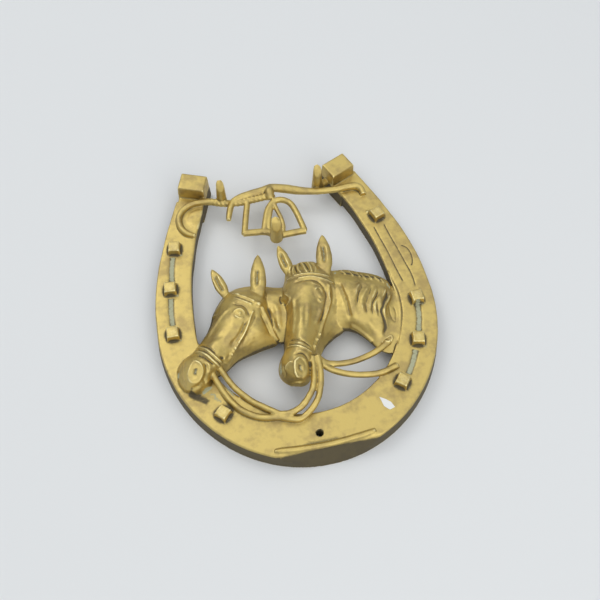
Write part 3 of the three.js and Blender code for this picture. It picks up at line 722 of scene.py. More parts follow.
def within_oval(x, y, rx, ry, turn, where, ready):
    """The points inside an oval on the plan, and how far out each is (0 to 1, squared)."""
    c, s = math.cos(math.radians(turn)), math.sin(math.radians(turn))
    reach = max(rx, ry)
    inside = (np.abs(where[:, 0] - x) < reach) & (np.abs(where[:, 1] - y) < reach)
    near = np.flatnonzero(inside & ready)
    dx, dy = where[near, 0] - x, where[near, 1] - y
    q = ((c * dx + s * dy) / rx) ** 2 + ((-s * dx + c * dy) / ry) ** 2
    return near[q < 1], q[q < 1]


def dab(x, y, rx, ry, lift, turn=0, ball=False):
    """Raises or sinks an oval: a soft swelling, or a ball's cap."""
    near, q = within_oval(x, y, rx, ry, turn, place, above > 0)
    fall = np.sqrt(1 - q) if ball else (1 - q) ** 2
    place[near] += facing[near] * (lift * fall * above[near])[:, None]


RIPPLES = 12


def ripple(points, wave, seed):
    """Gentle unevenness of about one unit, in waves of about the given length."""
    draws = np.random.default_rng(seed)
    total = np.zeros(len(points))
    for _ in range(RIPPLES):
        way = draws.normal(size=3)
        way *= 2 * math.pi / (wave * draws.uniform(0.7, 1.5) * np.linalg.norm(way))
        total += np.sin(points @ way + draws.uniform(0, 2 * math.pi))
    return total / RIPPLES ** 0.5


# Hand-worked wax is never quite even. The horses are the roughest, and the shoe is nearly flat.
HORSES_REACH, HORSES_TOP = 58, 128  # how far the horses go to each side and towards the heels
HORSES_RISE, HORSES_BLEND = 0.8, 3  # they start this far above the face, and count fully this far on
UNEVEN_SHOE, UNEVEN_HORSES = 0.02, 0.09
proud = np.clip((place[:, 2] - FACE - HORSES_RISE) / HORSES_BLEND, 0, 1)
on_horses = proud * (place[:, 1] < HORSES_TOP) * (np.abs(place[:, 0]) < HORSES_REACH)
unevenness = UNEVEN_SHOE + (UNEVEN_HORSES - UNEVEN_SHOE) * on_horses
swell = ripple(place, wave=7, seed=3) + 0.5 * ripple(place, wave=3, seed=5)
place += facing * (unevenness * above * swell)[:, None]

# Ear hollows.
EAR_HOLLOWS = [  # line, half width, depth
    ([(-42.6, 113), (-41.3, 107.8), (-39.8, 103.2), (-38.4, 99.6)], 1.9, -1.5),
    ([(-17, 109.6), (-17.8, 106), (-18.6, 102.2), (-19.6, 97.3)], 1.8, -1.3),
    ([(-2.4, 118.2), (-1.5, 114), (-0.6, 109.7), (0.2, 106.6)], 1.8, -1.5),
    ([(23.2, 117.6), (22.9, 112.2), (22.3, 107.5), (21.6, 103.9)], 2.0, -1.5),
]
for line, width, depth in EAR_HOLLOWS:
    stroke(line, width, depth, 0.25)

# The left head: browband and rosette, brow, eye, cheek groove, cheekpiece, throat strap, noseband.
LEFT_FACE = [  # line, half width, lift, fade
    ([(-34.7, 97.5), (-31.2, 94), (-27.6, 91.2), (-24.6, 88.6), (-22, 86.8)], 1.5, 0.8, 0.1),
    ([(-34.4, 93.3), (-30.8, 90), (-27.7, 87.6), (-24.2, 85.2)], 1.2, 0.6, 0.1),
    ([(-35.8, 90.5), (-33.3, 87.7), (-30.6, 86.4), (-28.3, 83.8), (-27.6, 80.8), (-28.4, 77.8)],
     1.3, -0.7, 0.2),
    ([(-36.6, 81.5), (-34.6, 83.3), (-31.8, 83.6), (-29.9, 81.6), (-29.6, 79)], 0.9, 0.55, 0.2),
    ([(-35.7, 80.4), (-34.3, 78.7), (-32.2, 77.8), (-30.2, 78.4)], 0.8, 0.45, 0.2),
    ([(-29.2, 77.4), (-31.2, 73.8), (-33.4, 70.5), (-36, 67.5), (-39.1, 65), (-41.5, 62.6)],
     1.6, -0.8, 0.2),
    ([(-24, 82.9), (-26.8, 78.3), (-29.4, 73.6), (-32.2, 69.4), (-35.3, 65.9), (-38.3, 62.7),
      (-40.9, 59.6), (-43.6, 56.6), (-46.6, 54.8)], 1.15, 0.75, 0.06),
    ([(-23, 80.6), (-25.4, 76), (-28.2, 71.8), (-31.4, 67.6), (-34.6, 64)], 0.9, -0.4, 0.15),
    ([(-19.6, 85), (-18.3, 80.4), (-17.1, 76.3), (-16.2, 72.3), (-15.2, 68.5), (-13.8, 65.2)],
     1.3, 0.9, 0.05),
    ([(-17.1, 86.7), (-15.3, 81.8), (-14.4, 76.6), (-13.5, 71.8), (-12.6, 67.6)], 1.6, -0.65, 0.2),
    ([(-21, 81.3), (-19.6, 76.2), (-18.4, 71.2), (-17.2, 67)], 1.0, -0.5, 0.2),
    ([(-12.1, 89.5), (-11, 82), (-11.6, 75), (-12.2, 68.6)], 2.6, 0.9, 0.25),
    ([(-35.7, 87.2), (-39.6, 85.3), (-43.6, 82.3), (-47.7, 78.4), (-51.3, 74), (-54.2, 69.6)],
     1.6, 0.55, 0.25),
    ([(-41.4, 91.8), (-46, 87), (-50.6, 81.6), (-54.6, 75.8)], 1.8, -0.6, 0.25),
    ([(-48, 66), (-44, 71), (-40, 75.5), (-37, 79)], 3.2, -0.5, 0.3),
    ([(-60.8, 66), (-56.8, 61.8), (-53.9, 58.4), (-51.4, 55.7), (-48.4, 53.2)], 1.25, 1.0, 0.05),
    ([(-59, 69), (-53.9, 62.8), (-51.2, 59.2), (-48.8, 56.6), (-46.8, 54.8)], 1.2, 0.8, 0.08),
    ([(-58.2, 71.4), (-53.4, 65), (-50.6, 61.2), (-48.6, 58.8)], 1.1, -0.7, 0.15),
    ([(-59.6, 61.6), (-56.5, 58.6), (-53.8, 55.7), (-51.4, 53.6)], 1.2, -0.7, 0.15),
]
LEFT_DABS = [  # place, radii, lift, turn
    (-32.7, 81.2, 4.6, 3.8, 0.9, 55), (-31.7, 94.2, 2.4, 2, 0.7, 0), (-20.9, 85.6, 2.5, 2.5, 1.5, 0),
    (-24.5, 72.5, 8, 7, 0.7, 0), (-46.5, 87.2, 2.6, 1.4, 0.8, -35), (-35.9, 65.4, 1.3, 1.3, 0.6, 0),
    (-38.6, 62.4, 1.3, 1.3, 0.6, 0), (-41, 59.6, 1.3, 1.3, 0.6, 0), (-46.6, 57.6, 1.7, 1.4, -0.9, 0),
]
# Its muzzle: a nostril like a drop inside a thick ring, the creased lips, and the gap to the bit.
LEFT_MUZZLE = [
    ([(-61.7, 57.1), (-59, 55.2), (-57.9, 51.9), (-59.4, 48), (-62.4, 45.8), (-65.1, 46.4), (-66, 49.4),
      (-64.4, 53.2), (-61.7, 57.1)], 1.3, 0.75, 0),
    ([(-60.8, 53.6), (-61.7, 51), (-62.7, 48.2)], 2.0, -1.0, 0.35),
    ([(-56, 56), (-55.6, 51.6), (-57.2, 47.6), (-59.6, 44.9)], 1.5, -1.0, 0.2),
    ([(-68.2, 60.6), (-69.6, 55), (-69.8, 50.1), (-69.4, 46.6)], 1.3, -0.6, 0.2),
    ([(-71.6, 57.5), (-72.2, 52.6)], 1.0, -0.8, 0.2),
    ([(-66.8, 43.8), (-63.4, 43.9), (-60.4, 44.8)], 0.9, -0.6, 0.2),
]

# The right head: forelock, browband, cheekpiece with its beads, eyes, facial crest, noseband.
RIGHT_FACE = [
    ([(8.5, 111), (9.3, 105), (9.6, 101), (10.8, 97.5)], 1.2, 0.9, 0.2),
    ([(11.9, 110.4), (12.8, 105), (12.9, 101), (12.6, 97)], 1.1, 0.8, 0.2),
    ([(5.6, 111), (3.4, 105.5), (2.6, 101.6), (3.3, 97.6)], 1.2, 0.9, 0.2),
    ([(7.4, 110.6), (5.9, 105), (6.2, 101), (7.4, 97.8)], 1.1, 0.8, 0.2),
    ([(2.4, 108.6), (0.6, 104), (0, 100.2)], 1.1, 0.7, 0.2),
    ([(14.2, 109), (15.6, 104.6), (15.6, 100.6), (14.4, 97.6)], 1.0, 0.6, 0.2),
    ([(10.2, 110), (11, 104.6), (11.4, 100.4)], 0.7, -0.6, 0.2),
    ([(4.4, 109.6), (4.5, 104.6), (4.6, 100.4)], 0.7, -0.6, 0.2),
    ([(-2.4, 98.6), (1, 98.5), (4.1, 98.6), (7.3, 98), (10.8, 97.5), (13.1, 97.2), (16, 96.6),
      (19, 95.9), (22.8, 95)], 1.1, 0.8, 0.06),
    ([(3.2, 96.2), (7.5, 95.5), (12.1, 95), (16, 93.8), (19.6, 92.8), (22.4, 91.9), (25, 91.4)],
     1.0, 0.65, 0.08),
    ([(1, 94), (5, 93.9), (8.3, 93.3), (11.7, 92.9), (14.9, 91.5), (16.9, 89.2), (17.8, 86.3),
      (18, 82.7)], 1.3, -0.75, 0.15),
    ([(10.8, 92.2), (11.7, 90.4), (14.3, 89.2), (16.2, 88.6)], 0.8, 0.4, 0.2),
    ([(20.9, 91.4), (20.2, 87.3), (19.3, 83), (18.9, 79.2), (17.2, 75.6), (15.1, 72), (12.8, 68),
      (10.6, 63.8), (8.6, 60), (6.4, 56.8), (4.6, 53.6), (3.9, 50)], 1.15, 0.8, 0.05),
    ([(18.2, 86), (17.7, 82.1), (16, 77.6), (14.2, 73.6), (12.2, 70), (10.2, 66.6)], 1.1, -0.7, 0.15),
    ([(22.6, 90.8), (22.5, 86.3), (21.3, 81.2), (19.4, 76.3)], 1.2, -0.5, 0.2),
    ([(11.2, 85.3), (13.2, 87.6), (15.2, 87), (16, 83.6)], 1.0, 0.6, 0.2),
    ([(12, 80.8), (13.4, 79.2), (15.2, 79.8)], 0.9, 0.5, 0.2),
    ([(13.2, 75.9), (11.3, 71.9), (9.3, 68.5), (6.8, 65)], 1.5, 0.75, 0.2),
    ([(-1.2, 85), (-2.2, 79.1), (-3.4, 72.4), (-5, 66.2), (-6.9, 60.4)], 1.5, 0.7, 0.12),
    ([(-3.4, 82.4), (-5, 74), (-7, 66), (-9, 60.4)], 1.7, -0.7, 0.15),
    ([(1.7, 80.9), (1.1, 75.1), (0, 69), (-2, 62.6)], 2.0, 0.35, 0.3),
    ([(4.8, 82), (3.8, 75), (2.2, 68.4), (0.2, 61.6)], 1.3, -0.3, 0.3),
    ([(7.5, 81), (5.4, 73.6), (3.3, 66.4), (1, 58.7)], 1.7, 0.4, 0.3),
    ([(-5.4, 91.1), (-3.5, 87.6), (-3.2, 84.3), (-4.6, 82.6), (-6.4, 83.4)], 0.9, 0.6, 0.15),
    ([(-7, 91.7), (-8.2, 88.2), (-7.6, 85)], 0.9, -0.7, 0.2),
    ([(-10.8, 55.4), (-8, 53.6), (-5.7, 52.2), (-3.1, 51), (-0.5, 50), (2.2, 49)], 0.95, 0.8, 0.08),
    ([(-9.6, 57.4), (-6.5, 55), (-3.2, 53.2), (-0.2, 51.8), (2, 50.8)], 1.1, 0.5, 0.1),
    ([(-9.2, 59), (-5.4, 56.6), (-1.9, 54.6), (0.4, 53.2), (2.5, 51.8)], 0.9, -0.55, 0.15),
]
RIGHT_DABS = [
    (13.6, 83.4, 3.2, 4.4, 0.8, 20), (-5.6, 87.4, 2.8, 3.2, 0.9, 0), (8.8, 60.4, 1.2, 1.2, 0.6, 0),
    (6.7, 57.3, 1.2, 1.2, 0.6, 0), (4.3, 53.3, 1.2, 1.2, 0.6, 0), (10, 88, 6, 4, 0.4, 0),
]
RIGHT_MUZZLE = [
    ([(-8.7, 43.4), (-5.8, 45.2), (-3.5, 44.2), (-2.7, 40.8), (-4, 37.6), (-6.6, 35.7), (-9, 36.2),
      (-9.8, 38), (-9.6, 40.6), (-8.7, 43.4)], 1.1, 0.65, 0),
    ([(-5.9, 42.4), (-6.5, 39.6), (-7.2, 37.4)], 1.9, -1.0, 0.35),
    ([(-9, 47.2), (-5.3, 47.9), (-2.4, 47.2), (-0.7, 44.6), (-0.6, 41)], 1.2, -0.8, 0.2),
    ([(-9.8, 44.1), (-12.1, 43.7), (-14, 42.6), (-14.6, 40.6)], 1.0, 0.6, 0.2),
    ([(-14.9, 45), (-15.4, 41.9), (-14.4, 38.6)], 0.9, -0.7, 0.2),
    ([(-14.5, 37.4), (-12.1, 35.6), (-9.2, 34.6), (-5.9, 35.2)], 0.8, -0.5, 0.2),
]
for lines in (LEFT_FACE, LEFT_MUZZLE, RIGHT_FACE, RIGHT_MUZZLE):
    for line, width, lift, fade in lines:
        stroke(line, width, lift, fade)
for x, y, rx, ry, lift, turn in LEFT_DABS + RIGHT_DABS:
    dab(x, y, rx, ry, lift, turn)

EYES = [(-32.3, 80.4, 55), (14.2, 82.2, -15), (-5.8, 87.2, 0)]  # place and slant
for x, y, slant in EYES:
    dab(x, y, 2.5, 1.7, -0.4, slant)
    dab(x, y, 1.5, 1.05, 0.55, slant, ball=True)

# The necks: wavy locks with dark partings, the crease behind the cheek, the rim along the throat.
LOCKS = [
    [(39, 90), (38, 87.3), (35.9, 84.4), (34, 80.1), (31.6, 76.2)],
    [(43.6, 88), (42.6, 84.8), (39.3, 80.6), (37, 76.7), (36.2, 72.6), (36.6, 67.6)],
    [(48, 87), (47, 83.4), (44.6, 79), (42, 75.1), (40.4, 71), (40.2, 67.4)],
    [(49.6, 80.5), (47.2, 76.9), (44.1, 73.4), (43.3, 70), (43, 64.6)],
    [(53.4, 85), (52.2, 81.4), (49, 77.3), (46.9, 73.4), (46.3, 69.2)],
    [(56, 82), (54.6, 79), (52, 75.5), (49.2, 71.9), (48.2, 68.2), (49, 64.4)],
]
PARTINGS = [
    [(40.8, 89), (39.3, 85.2), (36.6, 81.6), (34.8, 77.6), (33.6, 73)],
    [(45.4, 87), (44, 82.8), (41.6, 79), (39.2, 75), (38.4, 70.8), (38.5, 66.4)],
    [(49.4, 84.6), (47, 79.6), (43.4, 75.2), (41.8, 71.4), (41.5, 65.6)],
    [(51.8, 83.2), (49, 78), (45.6, 73.6), (44.7, 69.4), (45, 64.6)],
    [(54.6, 83.6), (52.4, 78.6), (50, 75), (47.8, 71.4)],
]
CREST = [
    [(31, 101.6), (33, 96.8)], [(35.4, 100.8), (37, 94.4)], [(39.4, 98.4), (40.8, 93.4)],
    [(41.4, 97.2), (43.8, 90.4)], [(45.3, 95.9), (47.2, 90.2)], [(48.8, 93.6), (51.4, 88.8)],
    [(52.2, 91.4), (53.8, 87.4)],
]
for line in LOCKS:
    stroke(line, 1.9, 0.85, 0.25)
for line in PARTINGS:
    stroke(line, 1.1, -0.45, 0.25)
for line in CREST:
    stroke(line, 1.0, 0.6, 0.15)
NECKS = [
    ([(54.4, 82.6), (52.6, 77.4), (49.4, 72.4), (47, 68.6), (47.2, 64.8), (47, 60), (44.6, 55)],
     1.4, -0.8, 0.1),
    ([(27.2, 92), (27.8, 84.6), (28.2, 79.3), (28.4, 74.7), (28.3, 70.7), (28.4, 66.4)], 1.7, -0.9, 0.15),
    ([(27.4, 65.2), (30.6, 63), (34.6, 58.6), (38.4, 53.2)], 1.2, 0.7, 0.1),
    ([(33.1, 88), (31.6, 81.1), (31, 73.5), (31.7, 66.5)], 2.6, 0.5, 0.3),
    ([(36.9, 66), (39.2, 61.2), (41.2, 56.6)], 2.6, 0.5, 0.3),
    ([(52.6, 73), (52, 67), (53.4, 62.6), (55.4, 67.1), (55, 72.6)], 0.8, -0.35, 0.1),
    ([(58, 97), (59.2, 89.2), (60.3, 82), (60.2, 75.3), (59, 67.6), (56.3, 59.7), (53.5, 53.9),
      (50.6, 48.1)], 0.9, -0.6, 0.05),
    ([(43, 51.9), (46.3, 54), (49, 54.7), (49.2, 52.9), (46.3, 50.3), (43, 51.9)], 0.8, 0.5, 0),
]
for line, width, lift, fade in NECKS:
    stroke(line, width, lift, fade)

# The shoe's face: worn fullers between the nails, a scribed strip and a half moon on the right
# branch, a small stud, and the low disc inside the whip's ring.
FULLERS = [
    [(-64.1, 132.2), (-66, 123.5), (-67.2, 114.8)], [(-69.1, 105), (-70.2, 96), (-70.6, 86.3)],
    [(69.3, 72.3), (67.8, 63), (64.8, 53.6)], [(60.4, 43.7), (56.6, 36.4), (51.8, 29.5)],
]
SCRIBED = [
    [(57.7, 128.6), (59.2, 120.2), (61.6, 108.2), (63.3, 96.5), (65.2, 85.7)],
    [(64.2, 129.4), (65.3, 121.8), (67.4, 111.2), (69.6, 99.3), (71.2, 89.9), (71.1, 81.1)],
    [(69.9, 111.4), (73, 109.3), (74.6, 103.9), (73.9, 98.4), (72.3, 96)],
]
for line in FULLERS:
    stroke(line, width=2.9, lift=-0.6, fade=0.08)
for line in SCRIBED:
    stroke(line, width=0.9, lift=-0.25, fade=0.06)
STUD, DISC = (56.6, 138.4), (-44.6, 155)
dab(*STUD, rx=1.5, ry=1.5, lift=0.8)
dab(*DISC, rx=7.6, ry=7.2, lift=0.7, ball=True)
dab(*DISC, rx=5.4, ry=5.2, lift=-0.5)

place = relaxed(place, 1)

# 9. The surface ------------------------------------------------------------------------------
# Old brass: rubbed bright on what stands proud, with grime and painted shade in brown on what doesn't
# and on the walls, and dried polish left in the corners. The fused surface is thinned out where it is flat.

TRIANGLES = 196000
EARLY, LATE = 10, 60  # steps of relaxing that find small and broad hollows


def write_attributes(values_by_label):
    """Stores a number for each of the casting's points, for the brass's shader."""
    for label, values in values_by_label.items():
        mesh.attributes.new(label, "FLOAT", "POINT").data.foreach_set("value", values.astype(np.float32))


shape_normal = normals_of(place)
small = relaxed(place, EARLY)
broad = relaxed(small, LATE)
cavity = np.sum((small - place) * shape_normal, axis=1)
hollow = np.sum((broad - place) * shape_normal, axis=1)
normals_of(place)
write_attributes({"cavity": cavity, "hollow": hollow})

casting = bpy.data.objects.new("brass_casting", mesh)
bpy.context.collection.objects.link(casting)
thinned = casting.modifiers.new("thin", "DECIMATE")
thinned.ratio = TRIANGLES / (2 * len(mesh.polygons))
depsgraph = bpy.context.evaluated_depsgraph_get()
dense, mesh = mesh, bpy.data.meshes.new_from_object(casting.evaluated_get(depsgraph))
casting.modifiers.clear()
casting.data = mesh
bpy.data.meshes.remove(dense)
mesh.name = "brass_casting"

spot = read(mesh.vertices, "co", 3).astype(float)
upward = read(mesh.vertices, "normal", 3)[:, 2]
seen = upward > -0.2  # films stay off the underside
films = {name: np.zeros(len(spot)) for name in ("grime_and_shade", "pale", "worn")}
LINE_FULLNESS, PATCH_FULLNESS = 1.6, 1.8  # how soon a film is whole, inwards from its edge


def film(name, points, width, amount=1.0, fade=0.15):
    """Lays grime and painted shade, dried polish or wear along a line."""
    near, away, along = near_line(points, width, spot, seen)
    soft = np.clip(LINE_FULLNESS * (1 - away / width), 0, 1) * ends_faded(along, fade) * amount
    films[name][near] = np.maximum(films[name][near], soft)


def film_patch(name, x, y, reach, amount=1.0, top=PEG_TOP):
    """Lays a round patch of film below a height."""
    near, q = within_oval(x, y, reach, reach, 0, spot, seen & (spot[:, 2] < top))
    soft = np.clip(PATCH_FULLNESS * (1 - np.sqrt(q)), 0, 1) * amount
    films[name][near] = np.maximum(films[name][near], soft)


# Each nail's top is rubbed bright. Round its foot lie grime and crumbs of dried polish, and painted shade
# goes up its sides.
NAIL_GRIME_AND_SHADE, NAIL_WEAR = (6.6, 0.9), (4.4, 0.5)  # reach and amount
CRUMBS = [(3.2, -4.4, 2.6, 0.45), (-4.4, 2.6, 2.2, 0.4)]  # offset from the nail, reach, amount
GRIME_AND_SHADE_RISE, CRUMB_RISE = 2.5, 0.6  # how far above the face they go
for x, y, _ in NAILS:
    film_patch("grime_and_shade", x, y, *NAIL_GRIME_AND_SHADE, FACE + GRIME_AND_SHADE_RISE)
    film_patch("worn", x, y, *NAIL_WEAR)
    for right, up, reach, amount in CRUMBS:
        film_patch("pale", x + right, y + up, reach, amount, FACE + CRUMB_RISE)

# Painted shade darkens the walls from just below the face, and the pegs' stems.
FLATTEST, STEEP_BLEND = 0.8, 0.15  # grime holds where the normal's upward part is less than this
EDGE_GAP, EDGE_BLEND = 0.4, 1.2
steep = np.clip((FLATTEST - upward) / STEEP_BLEND, 0, 1)
low = np.clip((FACE - EDGE_GAP - spot[:, 2]) / EDGE_BLEND, 0, 1)
films["grime_and_shade"] = np.maximum(films["grime_and_shade"], steep * low)
STEM_REACH, STEM_STEEP, STEM_SHADE = 2 * PEG_BASE, 0.4, 0.35
for x, y, _, _ in PEGS:
    stem = (np.hypot(spot[:, 0] - x, spot[:, 1] - y) < STEM_REACH) & (upward < STEM_STEEP)
    films["grime_and_shade"][stem] = np.maximum(films["grime_and_shade"][stem], STEM_SHADE)

# Painted shade on the face under the left muzzle; darker along the manes, in the nostrils and behind the
# clip.
GRIME_AND_SHADE_LINES = [  # line, half width, amount
    ([(-68.4, 44), (-64.9, 41.4), (-60.9, 38.8), (-57.6, 35.7)], 2.6, 0.9),
    ([(28.9, 99.8), (35.5, 97.5), (40.8, 95), (46.4, 93.2), (51.2, 92.3), (54.3, 86.6)], 1.3, 0.6),
    ([(53.9, 81.1), (52.2, 77), (48.3, 72), (46.6, 68.6), (47.2, 64.8), (47.6, 60.3), (45.2, 55.4)],
     1.5, 0.7),
    ([(-61, 54), (-61.7, 51), (-62.6, 47.6)], 2.2, 0.3), ([(-6, 42.4), (-6.5, 39.6), (-7.1, 37)], 2.0, 0.3),
    ([(-47, 58), (-46.2, 57.2)], 1.2, 0.8), ([(-69.2, 48.9), (-68, 48.1)], 1.2, 0.5),
    ([(-13, 3.4), (-3, 3), (8, 3.2)], 1.2, 0.4),
]
# Dried polish in the nostrils, between the reins, round the muzzles and on the left branch.
PALE = [
    ([(-61.2, 52.6), (-61.7, 51), (-62.4, 49.2)], 1.1, 0.55),
    ([(-6.1, 41.2), (-6.5, 39.6), (-7, 38.4)], 1.0, 0.55),
    ([(-54.4, 45.4), (-57.4, 43.9), (-61, 41.8)], 1.0, 0.9), ([(-71.2, 57), (-72.3, 53.3)], 1.0, 0.8),
    ([(-56.5, 42.6), (-53.9, 38.4), (-51.3, 34.3)], 1.6, 0.7),
    ([(-50.7, 51.7), (-48.9, 48), (-46.9, 43.5), (-45, 38.9), (-42.4, 34.8)], 1.1, 0.8),
    ([(-15.8, 47.4), (-16.7, 44.3), (-16.6, 41.2)], 0.9, 0.8), ([(26.6, 100), (27.6, 99.6)], 1.3, 1.0),
    ([(54.6, 87.5), (57.1, 84.5)], 1.3, 0.9), ([(-72, 77.2), (-70.8, 65.6)], 1.5, 0.35),
    ([(-62.9, 73.3), (-59.9, 70.8)], 1.5, 0.35),
]
for line, width, amount in GRIME_AND_SHADE_LINES:
    film("grime_and_shade", line, width, amount)
for line, width, amount in PALE:
    film("pale", line, width, amount)
EAR_FILM = 0.7  # the film's width against the hollow's
for line, width, _ in EAR_HOLLOWS:
    film("pale", line, EAR_FILM * width, 0.5)
for line in FULLERS:
    film("grime_and_shade", line, width=3.4, amount=0.6, fade=0.05)
    film("pale", line, width=2.2, amount=0.75, fade=0.05)
for line in SCRIBED:
    film("grime_and_shade", line, width=1.0, amount=0.4, fade=0.05)
# Dried polish round the screw hole, and painted shade down inside it.
film_patch("pale", *SCREW_HOLE, reach=SCREW_RADIUS + 1.6, amount=0.55)
film_patch("grime_and_shade", *SCREW_HOLE, reach=SCREW_RADIUS + 0.9, amount=0.9, top=FACE - 0.3)

write_attributes(films)

MILLIMETRES = 1000  # in a metre


def settle(mesh):
    """Moves a finished mesh from millimetres off the toe edge to the frame's metres."""
    settled = (read(mesh.vertices, "co", 3).astype(float) - (0, TOE_TO_ORIGIN, 0)) / MILLIMETRES
    mesh.vertices.foreach_set("co", settled.astype(np.float32).ravel())
    mesh.update()


settle(mesh)
for polygon in mesh.polygons:
    polygon.use_smooth = True

BRASS, TARNISHED = (0.62, 0.47, 0.155), (0.44, 0.325, 0.125)
BRIGHT = (0.88, 0.75, 0.36)  # rubbed metal
GRIME_AND_SHADE_BROWN = (0.056, 0.046, 0.030)  # old grime, and painted shade on the walls and in hollows
CHALK = (0.42, 0.42, 0.26)  # dried polish, greenish from the copper
MOTTLE_WAVES, PATCH_WAVES, GRIT_WAVES = 70, 260, 900  # in a metre
CAVITY_DIRT_AND_SHADE, HOLLOW_DIRT_AND_SHADE, GRIME_AND_SHADE_WEIGHT = 3.4, 0.2, 0.9  # how much each of them darkens
CLEAN_ROUGHNESS, DULL_ROUGHNESS = 0.46, 0.8
CLEAN_METAL, DULL_METAL = 0.95, 0.05


def attribute(tree, name):
    """A number that the mesh carries for each point."""
    return node(tree, "ShaderNodeAttribute", attribute_name=name).outputs["Fac"]


def blended(tree, factor, low, high):
    """A colour between two, each a plain colour or another node's."""
    mix = node(tree, "ShaderNodeMix", {"Factor": factor}, data_type="RGBA")
    for socket, value in ((mix.inputs[6], low), (mix.inputs[7], high)):
        if isinstance(value, bpy.types.NodeSocket):
            tree.links.new(value, socket)
        else:
            socket.default_value = (*value, 1)
    return mix.outputs[2]


def ranged(tree, value, low, high, to_low=0.0, to_high=1.0):
    """The value eased from one range to another."""
    return node(tree, "ShaderNodeMapRange", {
        "Value": value, "From Min": low, "From Max": high, "To Min": to_low, "To Max": to_high},
        interpolation_type="SMOOTHSTEP").outputs[0]


def sum_of(tree, *values):
    total = values[0]
    for value in values[1:]:
        total = node(tree, "ShaderNodeMath", {0: total, 1: value}, operation="ADD").outputs[0]
    return total


def times(tree, a, b):
    return node(tree, "ShaderNodeMath", {0: a, 1: b}, operation="MULTIPLY").outputs[0]


def noise(tree, waves):
    """Noise fixed to the object, about nought, with so many waves in a metre."""
    where = node(tree, "ShaderNodeTexCoord").outputs["Object"]
    cloud = node(tree, "ShaderNodeTexNoise", {
        "Vector": where, "Scale": waves, "Detail": 4.0, "Roughness": 0.55})
    return node(tree, "ShaderNodeMath", {0: cloud.outputs[0], 1: 0.5}, operation="SUBTRACT").outputs[0]


def make_brass(material):
    """Worn brass: metal, tarnish, rubbed edges, grime and painted shade in what lies deep, and chalk on
    top.
    """
    material.use_nodes = True
    tree = material.node_tree
    shader = tree.nodes["Principled BSDF"]
    blotch, grit = noise(tree, MOTTLE_WAVES), noise(tree, GRIT_WAVES)
    cavity = attribute(tree, "cavity")

    # Where each layer lies.
    # The brown layer is grime and painted shade together, strongest in small and broad hollows.
    deep = sum_of(tree, times(tree, cavity, CAVITY_DIRT_AND_SHADE),
                  times(tree, attribute(tree, "hollow"), HOLLOW_DIRT_AND_SHADE),
                  times(tree, blotch, 0.35), times(tree, grit, 0.25))
    grime_and_shade_total = sum_of(tree, deep, times(tree, attribute(tree, "grime_and_shade"), GRIME_AND_SHADE_WEIGHT))
    dirt_and_shade = ranged(tree, grime_and_shade_total, 0.16, 0.75)
    proud = ranged(tree, times(tree, cavity, -1.0), 0.03, 0.22)
    shine = ranged(tree, sum_of(tree, proud, attribute(tree, "worn"), times(tree, grit, 0.5)), 0.25, 1.0)
    crust = times(tree, ranged(tree, cavity, 0.16, 0.42), 0.42)
    chalk = ranged(tree, sum_of(tree, attribute(tree, "pale"), crust, times(tree, grit, 0.9)), 0.35, 0.75)
    mottle = sum_of(tree, blotch, times(tree, noise(tree, PATCH_WAVES), 0.7))

    # Their colours, one over the other.
    metal = blended(tree, ranged(tree, mottle, -0.25, 0.12), TARNISHED, BRASS)
    metal = blended(tree, shine, metal, BRIGHT)
    metal = blended(tree, times(tree, dirt_and_shade, 0.9), metal, GRIME_AND_SHADE_BROWN)
    tree.links.new(blended(tree, chalk, metal, CHALK), shader.inputs["Base Color"])

    # The grime-and-painted-shade layer and chalk are dull, and the skin of the casting is a little gritty.
    dull = sum_of(tree, times(tree, dirt_and_shade, 0.6), chalk)
    tree.links.new(ranged(tree, dull, 0.0, 1.0, CLEAN_METAL, DULL_METAL), shader.inputs["Metallic"])
    rough = ranged(tree, dull, 0.0, 1.0, CLEAN_ROUGHNESS, DULL_ROUGHNESS)
    tree.links.new(sum_of(tree, rough, times(tree, grit, 0.12)), shader.inputs["Roughness"])
    bump = node(tree, "ShaderNodeBump", {"Height": grit, "Strength": 0.25, "Distance": 0.0002})
    tree.links.new(bump.outputs[0], shader.inputs["Normal"])


make_brass(brass)
mesh.materials.clear()
mesh.materials.append(brass)
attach(casting, "root")
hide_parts("plaque_casting")

# 10. The label -------------------------------------------------------------------------------
# The torn corner of a plain white paper label still sticks to the face, right of the toe.

LABEL = [(33, 20.2), (35.8, 18.4), (38.4, 16.1), (39.7, 12.8), (36.7, 12), (35.6, 13), (34.1, 14.6)]
LABEL_BED, LABEL_TOP = FACE - 0.15, FACE + 0.2
label = loft("label_remnant", [[(x, y, z) for x, y in reversed(LABEL)] for z in (LABEL_BED, LABEL_TOP)])
turn_outward(label.data)
settle(label.data)


def plain(name, colour, roughness):
    """An even, dull material."""
    material = bpy.data.materials.new(name)
    material.use_nodes = True
    shader = material.node_tree.nodes["Principled BSDF"]
    shader.inputs["Base Color"].default_value = (*colour, 1)
    shader.inputs["Roughness"].default_value = roughness
    return material


label.data.materials.append(plain("paper", (0.78, 0.77, 0.72), 0.9))
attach(label, "root")
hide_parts("plaque_casting")

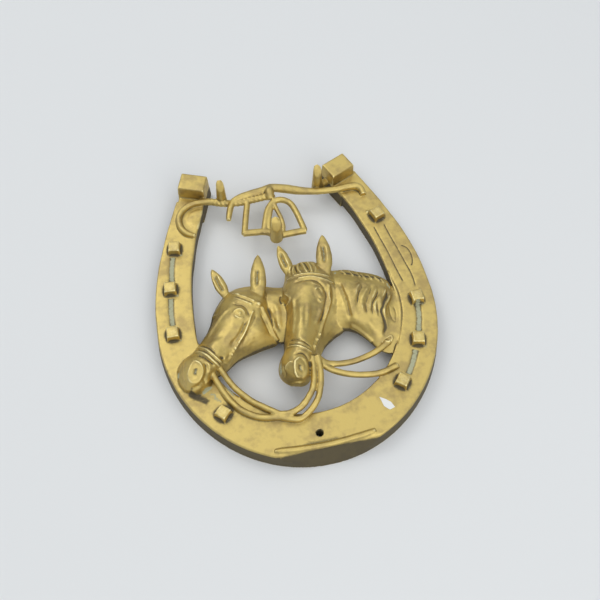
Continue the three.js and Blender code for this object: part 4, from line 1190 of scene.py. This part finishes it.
# 11. Floor, light and camera -----------------------------------------------------------------
# A pale floor under soft studio light. The camera looks down on the rack from beyond its toe.

FLOOR_SIZE = 6.0
floor_mesh = bpy.data.meshes.new("floor")
half = FLOOR_SIZE / 2
floor_corners = [(-half, -half, 0), (half, -half, 0), (half, half, 0), (-half, half, 0)]
floor_mesh.from_pydata(floor_corners, [], [(0, 1, 2, 3)])
floor_mesh.materials.append(plain("floor", (0.72, 0.72, 0.70), 0.8))
floor = bpy.data.objects.new("floor", floor_mesh)
bpy.context.collection.objects.link(floor)


def softbox(name, position, size, power):
    """A square light that faces the rack."""
    light = bpy.data.lights.new(name, "AREA")
    light.size = size
    light.energy = power
    lamp = bpy.data.objects.new(name, light)
    lamp.location = position
    lamp.rotation_euler = (-lamp.location).to_track_quat("-Z", "Y").to_euler()
    bpy.context.collection.objects.link(lamp)


softbox("ceiling", (0, 0.2, 1.4), size=2.6, power=13)
softbox("front", (0.35, -1.0, 0.8), size=1.2, power=5.6)
softbox("window", (-0.5, 0.7, 1.1), size=0.5, power=2)
world = bpy.data.worlds.new("room")
bpy.context.scene.world = world
world.use_nodes = True
room = world.node_tree.nodes["Background"]
room.inputs["Color"].default_value = (0.80, 0.86, 0.95, 1)
room.inputs["Strength"].default_value = 0.58

CAMERA_TURN, CAMERA_TILT = math.radians(-12.26), math.radians(62)
CAMERA_ANGLE = math.radians(40)
CAMERA_DISTANCE = 0.4757
CAMERA_TARGET = Vector((0.0035, -0.00145, 0.011))
camera_data = bpy.data.cameras.new("camera")
camera_data.lens_unit = "FOV"
camera_data.angle = CAMERA_ANGLE
camera = bpy.data.objects.new("camera", camera_data)
level = math.cos(CAMERA_TILT)
away = Vector((math.sin(CAMERA_TURN) * level, -math.cos(CAMERA_TURN) * level, math.sin(CAMERA_TILT)))
camera.location = CAMERA_TARGET + CAMERA_DISTANCE * away
camera.rotation_euler = (-away).to_track_quat("-Z", "Y").to_euler()
bpy.context.collection.objects.link(camera)
bpy.context.scene.camera = camera
bpy.context.scene.view_settings.view_transform = "Standard"
